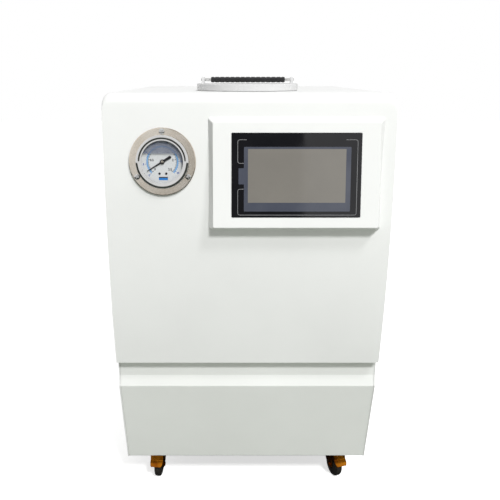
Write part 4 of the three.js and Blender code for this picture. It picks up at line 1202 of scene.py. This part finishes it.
def caster_fork(corner, matrix, axle_y, brake):
    cheek = rounded([(11, FORK_TOP), (axle_y - 6, FORK_TOP), (axle_y - 6, 36), (axle_y - 5.5, 13.5, 5.2),
                     (axle_y + 5.5, 13.5, 5.2), (11, 39)], 1, 6)
    parts = [soften(prism(cheek, "x", side * CHEEK_IN, side * CHEEK_OUT), 0.4, 2, 60) for side in (-1, 1)]
    bridge = soften(block(-CHEEK_OUT, CHEEK_OUT, axle_y - 6, 11, 40, FORK_TOP), 0.4, 2, 60)
    head = turned([(0, 41), (11.2, 41), (12, 41.8), (12, 43.6), (10.6, 45.1), (0, 45.1)], None, 48)
    axle = Matrix.Translation((0, axle_y, WHEEL_RADIUS)) @ SIDEWAYS
    parts += [head, rod(2.5, -CHEEK_OUT - 0.4, CHEEK_OUT + 0.4, axle, 32)]
    parts.append(bolt_head(3.6, CHEEK_OUT - 0.1, CHEEK_OUT + 1.8, axle))
    parts.append(bolt_head(3.6, -CHEEK_OUT - 1.8, -CHEEK_OUT + 0.1, axle))
    if brake:
        pivot = Matrix.Translation((0, axle_y - PIVOT_BACK, PIVOT_Z)) @ SIDEWAYS
        parts.append(rod(2, -PEDAL_HALF - 0.5, -CHEEK_IN - 0.5, pivot, 24))
        parts.append(rod(2, CHEEK_IN + 0.5, PEDAL_HALF + 0.5, pivot, 24))
    fork = moved(cut(join(bridge, *parts), rod(3.7, 35, 50, None, 32)), matrix)
    show(f"caster_yoke_{corner}", fork, "gold_zinc", ZINC, f"caster_fork_{corner}", body=f"swivel_{corner}")


def caster_wheel(corner, matrix, axle_y):
    """Hub, web and tread in one turned profile, the same on both sides."""
    r = WHEEL_RADIUS
    width = WHEEL_HALF
    half = [(2.7, width), (5.5, width), (6, width - 0.5), (7, width - 1.2), (12.5, width - 1.4),
            (13.2, width - 0.6), (r - 2.5, width - 0.3), (r - 1, width - 0.8), (r - 0.2, width - 2),
            (r, width - 3.4)]
    profile = [(radius, -z) for radius, z in half] + [(radius, z) for radius, z in reversed(half)]
    tyre = turned(profile, matrix @ Matrix.Translation((0, axle_y, r)) @ SIDEWAYS, 64)
    show(f"caster_tyre_{corner}", tyre, "wheel_rubber", RUBBER, f"caster_wheel_{corner}",
         body=f"wheel_{corner}")


def brake_pedal(corner, matrix, axle_y):
    """A pressed pedal: it slopes down in front of the wheel and ends in a wide rolled lip."""
    half = PEDAL_HALF
    tread = rounded([(-31.2, 43.6, 0.6), (-33.1, 36.2, 1.2), (-37.6, 33.0, 5), (-41.2, 28.6, 0.7),
                     (-39.9, 28.1, 0.7), (-36.4, 31.6, 4), (-31.6, 34.8, 1), (-29.7, 43.2, 0.6)], 0.5, 6)
    plan = rounded([(-half, -20), (half, -20), (half, -41.5, 6), (-half, -41.5, 6)], 0.5, 8)
    sheet = combine(prism(tread, "x", -half, half), [prism(plan, "z", 20, 50)], "INTERSECT")
    pivot_y = axle_y - PIVOT_BACK
    ear = rounded([(-32.2, 35.4), (-30.6, 43.2), (pivot_y, 40.8, 3.4), (pivot_y + 3.6, PIVOT_Z, 3.4),
                   (pivot_y, 33.2, 3.4)], 0.6, 6)
    ears = [soften(prism(ear, "x", side * (half - 1.4), side * half), 0.3, 2, 60) for side in (-1, 1)]
    bore = rod(2.2, -20, 20, Matrix.Translation((0, pivot_y, PIVOT_Z)) @ SIDEWAYS, 24)
    pedal = moved(cut(join(soften(sheet, 0.4, 2, 60), *ears), bore), matrix)
    show(f"brake_tread_{corner}", pedal, "gold_zinc", ZINC, f"brake_pedal_{corner}", body=f"pedal_{corner}")


def casters():
    for corner in ("front_left", "front_right", "rear_left", "rear_right"):
        matrix, axle_y = caster_frame(corner)
        brake = f"brake_pedal_{corner}" in frame["nodes"]
        caster_plate(corner, matrix)
        caster_fork(corner, matrix, axle_y, brake)
        caster_wheel(corner, matrix, axle_y)
        if brake:
            brake_pedal(corner, matrix, axle_y)


# ---- rear fittings ----

def hose_barb(node):
    centre = port_centre(node)
    nut = GAP
    reach = box(node)[1].y - REAR_Y
    profile = rounded([(2.8, -22), (5.5, -22, 0.6), (8, -14, 0.8), (8, nut, 0.2), (10.8, nut, 0.6),
                       (10.8, nut + 4, 0.8), (5, nut + 4, 0.3), (6.3, nut + 6.5, 0.3), (5, nut + 6.9, 0.2),
                       (5, nut + 9, 0.3), (6.3, nut + 11, 0.3), (5, nut + 11.4, 0.2), (5, nut + 13.6, 0.3),
                       (4.6, reach, 0.4), (2.8, reach, 0.3)], 0.2, 3)
    collar = cut(bolt_head(12.2, nut, nut + 4.2), rod(7, -1, 10, None, 32))
    barb = moved(join(turned(profile, None, 48), collar), rear_at(centre.x, centre.z))
    show(f"{node}_fitting", barb, "brass", BRASS, node)


LEVER_OUT = 8.5


def drain_tap():
    node = "drain_valve"
    centre = port_centre(node)
    reach = box(node)[1].y - REAR_Y
    profile = rounded([(2.8, -22), (5.5, -22), (8, -14), (8, 0.3, 0.2), (10, 0.3, 0.8), (10, 12.8, 1.2),
                       (6, 12.8, 0.6), (6, reach, 0.6), (2.8, reach, 0.3)], 0.3, 4)
    upward = Matrix.Translation((0, 0, LEVER_OUT)) @ Matrix.Rotation(-pi / 2, 4, "X")
    bonnet = turned([(0, 6), (5, 6), (5, 11.9), (4.5, 12.5), (2.4, 12.5), (2.4, 16.6), (2.0, 17), (0, 17)],
                    upward, 40)
    body = cut(join(turned(profile, None, 48), bonnet), rod(2.8, -30, 30, None, 32))
    body = moved(body, rear_at(centre.x, centre.z))
    show("drain_valve_body", body, "brass", BRASS, node)
    low, high = box("drain_lever")
    pivot, _ = joint_of("drain_lever_turn")
    x, y = pivot.x, pivot.y
    outline = [polar(5.5, degrees, x, y) for degrees in range(60, 301, 12)]
    outline += [(x + 14, y - 3.2), (x + 30, y - 3.8)]
    outline += [polar(4, degrees, high.x - 4, y) for degrees in range(-75, 76, 15)]
    outline += [(x + 30, y + 3.8), (x + 14, y + 3.2)]
    lever = soften(prism(outline, "z", low.z, high.z), 0.5, 3, 50)
    lever = cut(lever, rod(2.6, low.z - 5, high.z + 5, Matrix.Translation((x, y, 0)), 24))
    show("drain_lever_arm", lever, "bright_steel", BRIGHT_STEEL, "drain_lever", body="drain_handle")


def power_inlet():
    centre = inlet_centre()
    x, z = centre.x, centre.z
    back, face = (corner.y for corner in box("power_inlet"))
    body = soften(block(x - 30, x + 30, back, REAR_Y + 1, z - 14, z + 14), 0.8, 3, 50)
    flange = soften(prism(rectangle(x - 34, x + 34, z - 18, z + 18, 3), "y", REAR_Y + GAP, face), 0.7, 3, 50)
    socket = rounded([(x - 27, z - 9.5), (x - 1, z - 9.5), (x - 1, z + 5), (x - 5.5, z + 9.5),
                      (x - 22.5, z + 9.5), (x - 27, z + 5)], 1, 4)
    pocket = prism(socket, "y", REAR_Y - 14, face + 5)
    well = block(x + 8, x + 24, REAR_Y - 19, face + 5, z - 11.5, z + 11.5)
    module = cut(join(body, flange), pocket, well)
    show("power_inlet_module", module, "black_plastic", BLACK_PLASTIC, "power_inlet")
    pins = []
    for pin_x, pin_z in ((x - 21, z - 1.5), (x - 7, z - 1.5), (x - 14, z + 2.5)):
        pin = block(pin_x - 1, pin_x + 1, REAR_Y - 16, REAR_Y - 2, pin_z - 2.6, pin_z + 2.6)
        pins.append(soften(pin, 0.4, 2, 50))
    show("power_inlet_pins", together(*pins), "bright_steel", BRIGHT_STEEL)


def power_rocker():
    pivot, _ = joint_of("power_rocker_tip")
    outline = rounded([(-2, -5), (-2, 5), (2, 9), (10.8, 8.6, 0.8), (9.4, 0, 12), (10.8, -8.6, 0.8), (2, -9)],
                      0.6, 8)
    rocker = soften(prism(outline, "x", -7, 7), 0.5, 3, 50)
    place = Matrix.Translation(pivot) @ Matrix.Rotation(radians(-9), 4, "X")
    rocker = moved(rocker, place)
    show("power_rocker_cap", rocker, "black_plastic", BLACK_PLASTIC, "power_rocker", body="rocker")


# ---- CAD pieces that stay ----

KEPT = {
    "base_pan": GALVANISED,
    "tank_deck": GALVANISED,
    "fan_shroud": GALVANISED,
    "condenser": BRIGHT_STEEL,
    "display_module": BLACK_PLASTIC,
    "gauge_case": BRASS,
    "tank_insulation": FOAM,
    "lid_seal": SEAL,
    "compressor": GREY_PAINT,
    "fan_motor": GREY_PAINT,
    "fan_blades": BLACK_PLASTIC,
    "refrigerant_line": COPPER,
    "pump_motor": GREY_PAINT,
    "pump_head": BLACK_PLASTIC,
    "suction_hose": HOSE,
    "outlet_hose": HOSE,
    "return_hose": HOSE,
    "electrical_box": GREY_PAINT,
}
EDGE_ROUNDING = 0.0004              # in metres
EDGE_ANGLE = radians(50)


def finish_kept_nodes():
    for name, look in KEPT.items():
        node = frame["nodes"][name]
        dress(node, look, 35)
        bevel = node.modifiers.new("edges", "BEVEL")
        bevel.width = EDGE_ROUNDING
        bevel.segments = 2
        bevel.limit_method = "ANGLE"
        bevel.angle_limit = EDGE_ANGLE


make_camera()
make_studio()
front_panel()
lower_front_panel()
side_panel(-1)
side_panel(1)
top_cover()
rear_panel()
screen_bezel()
touch_screen()
gauge_dial()
gauge_needle()
gauge_body()
tank_pieces()
tank_lid()
lid_handle()
casters()
hose_barb("outlet_barb")
hose_barb("return_barb")
drain_tap()
power_inlet()
power_rocker()
finish_kept_nodes()
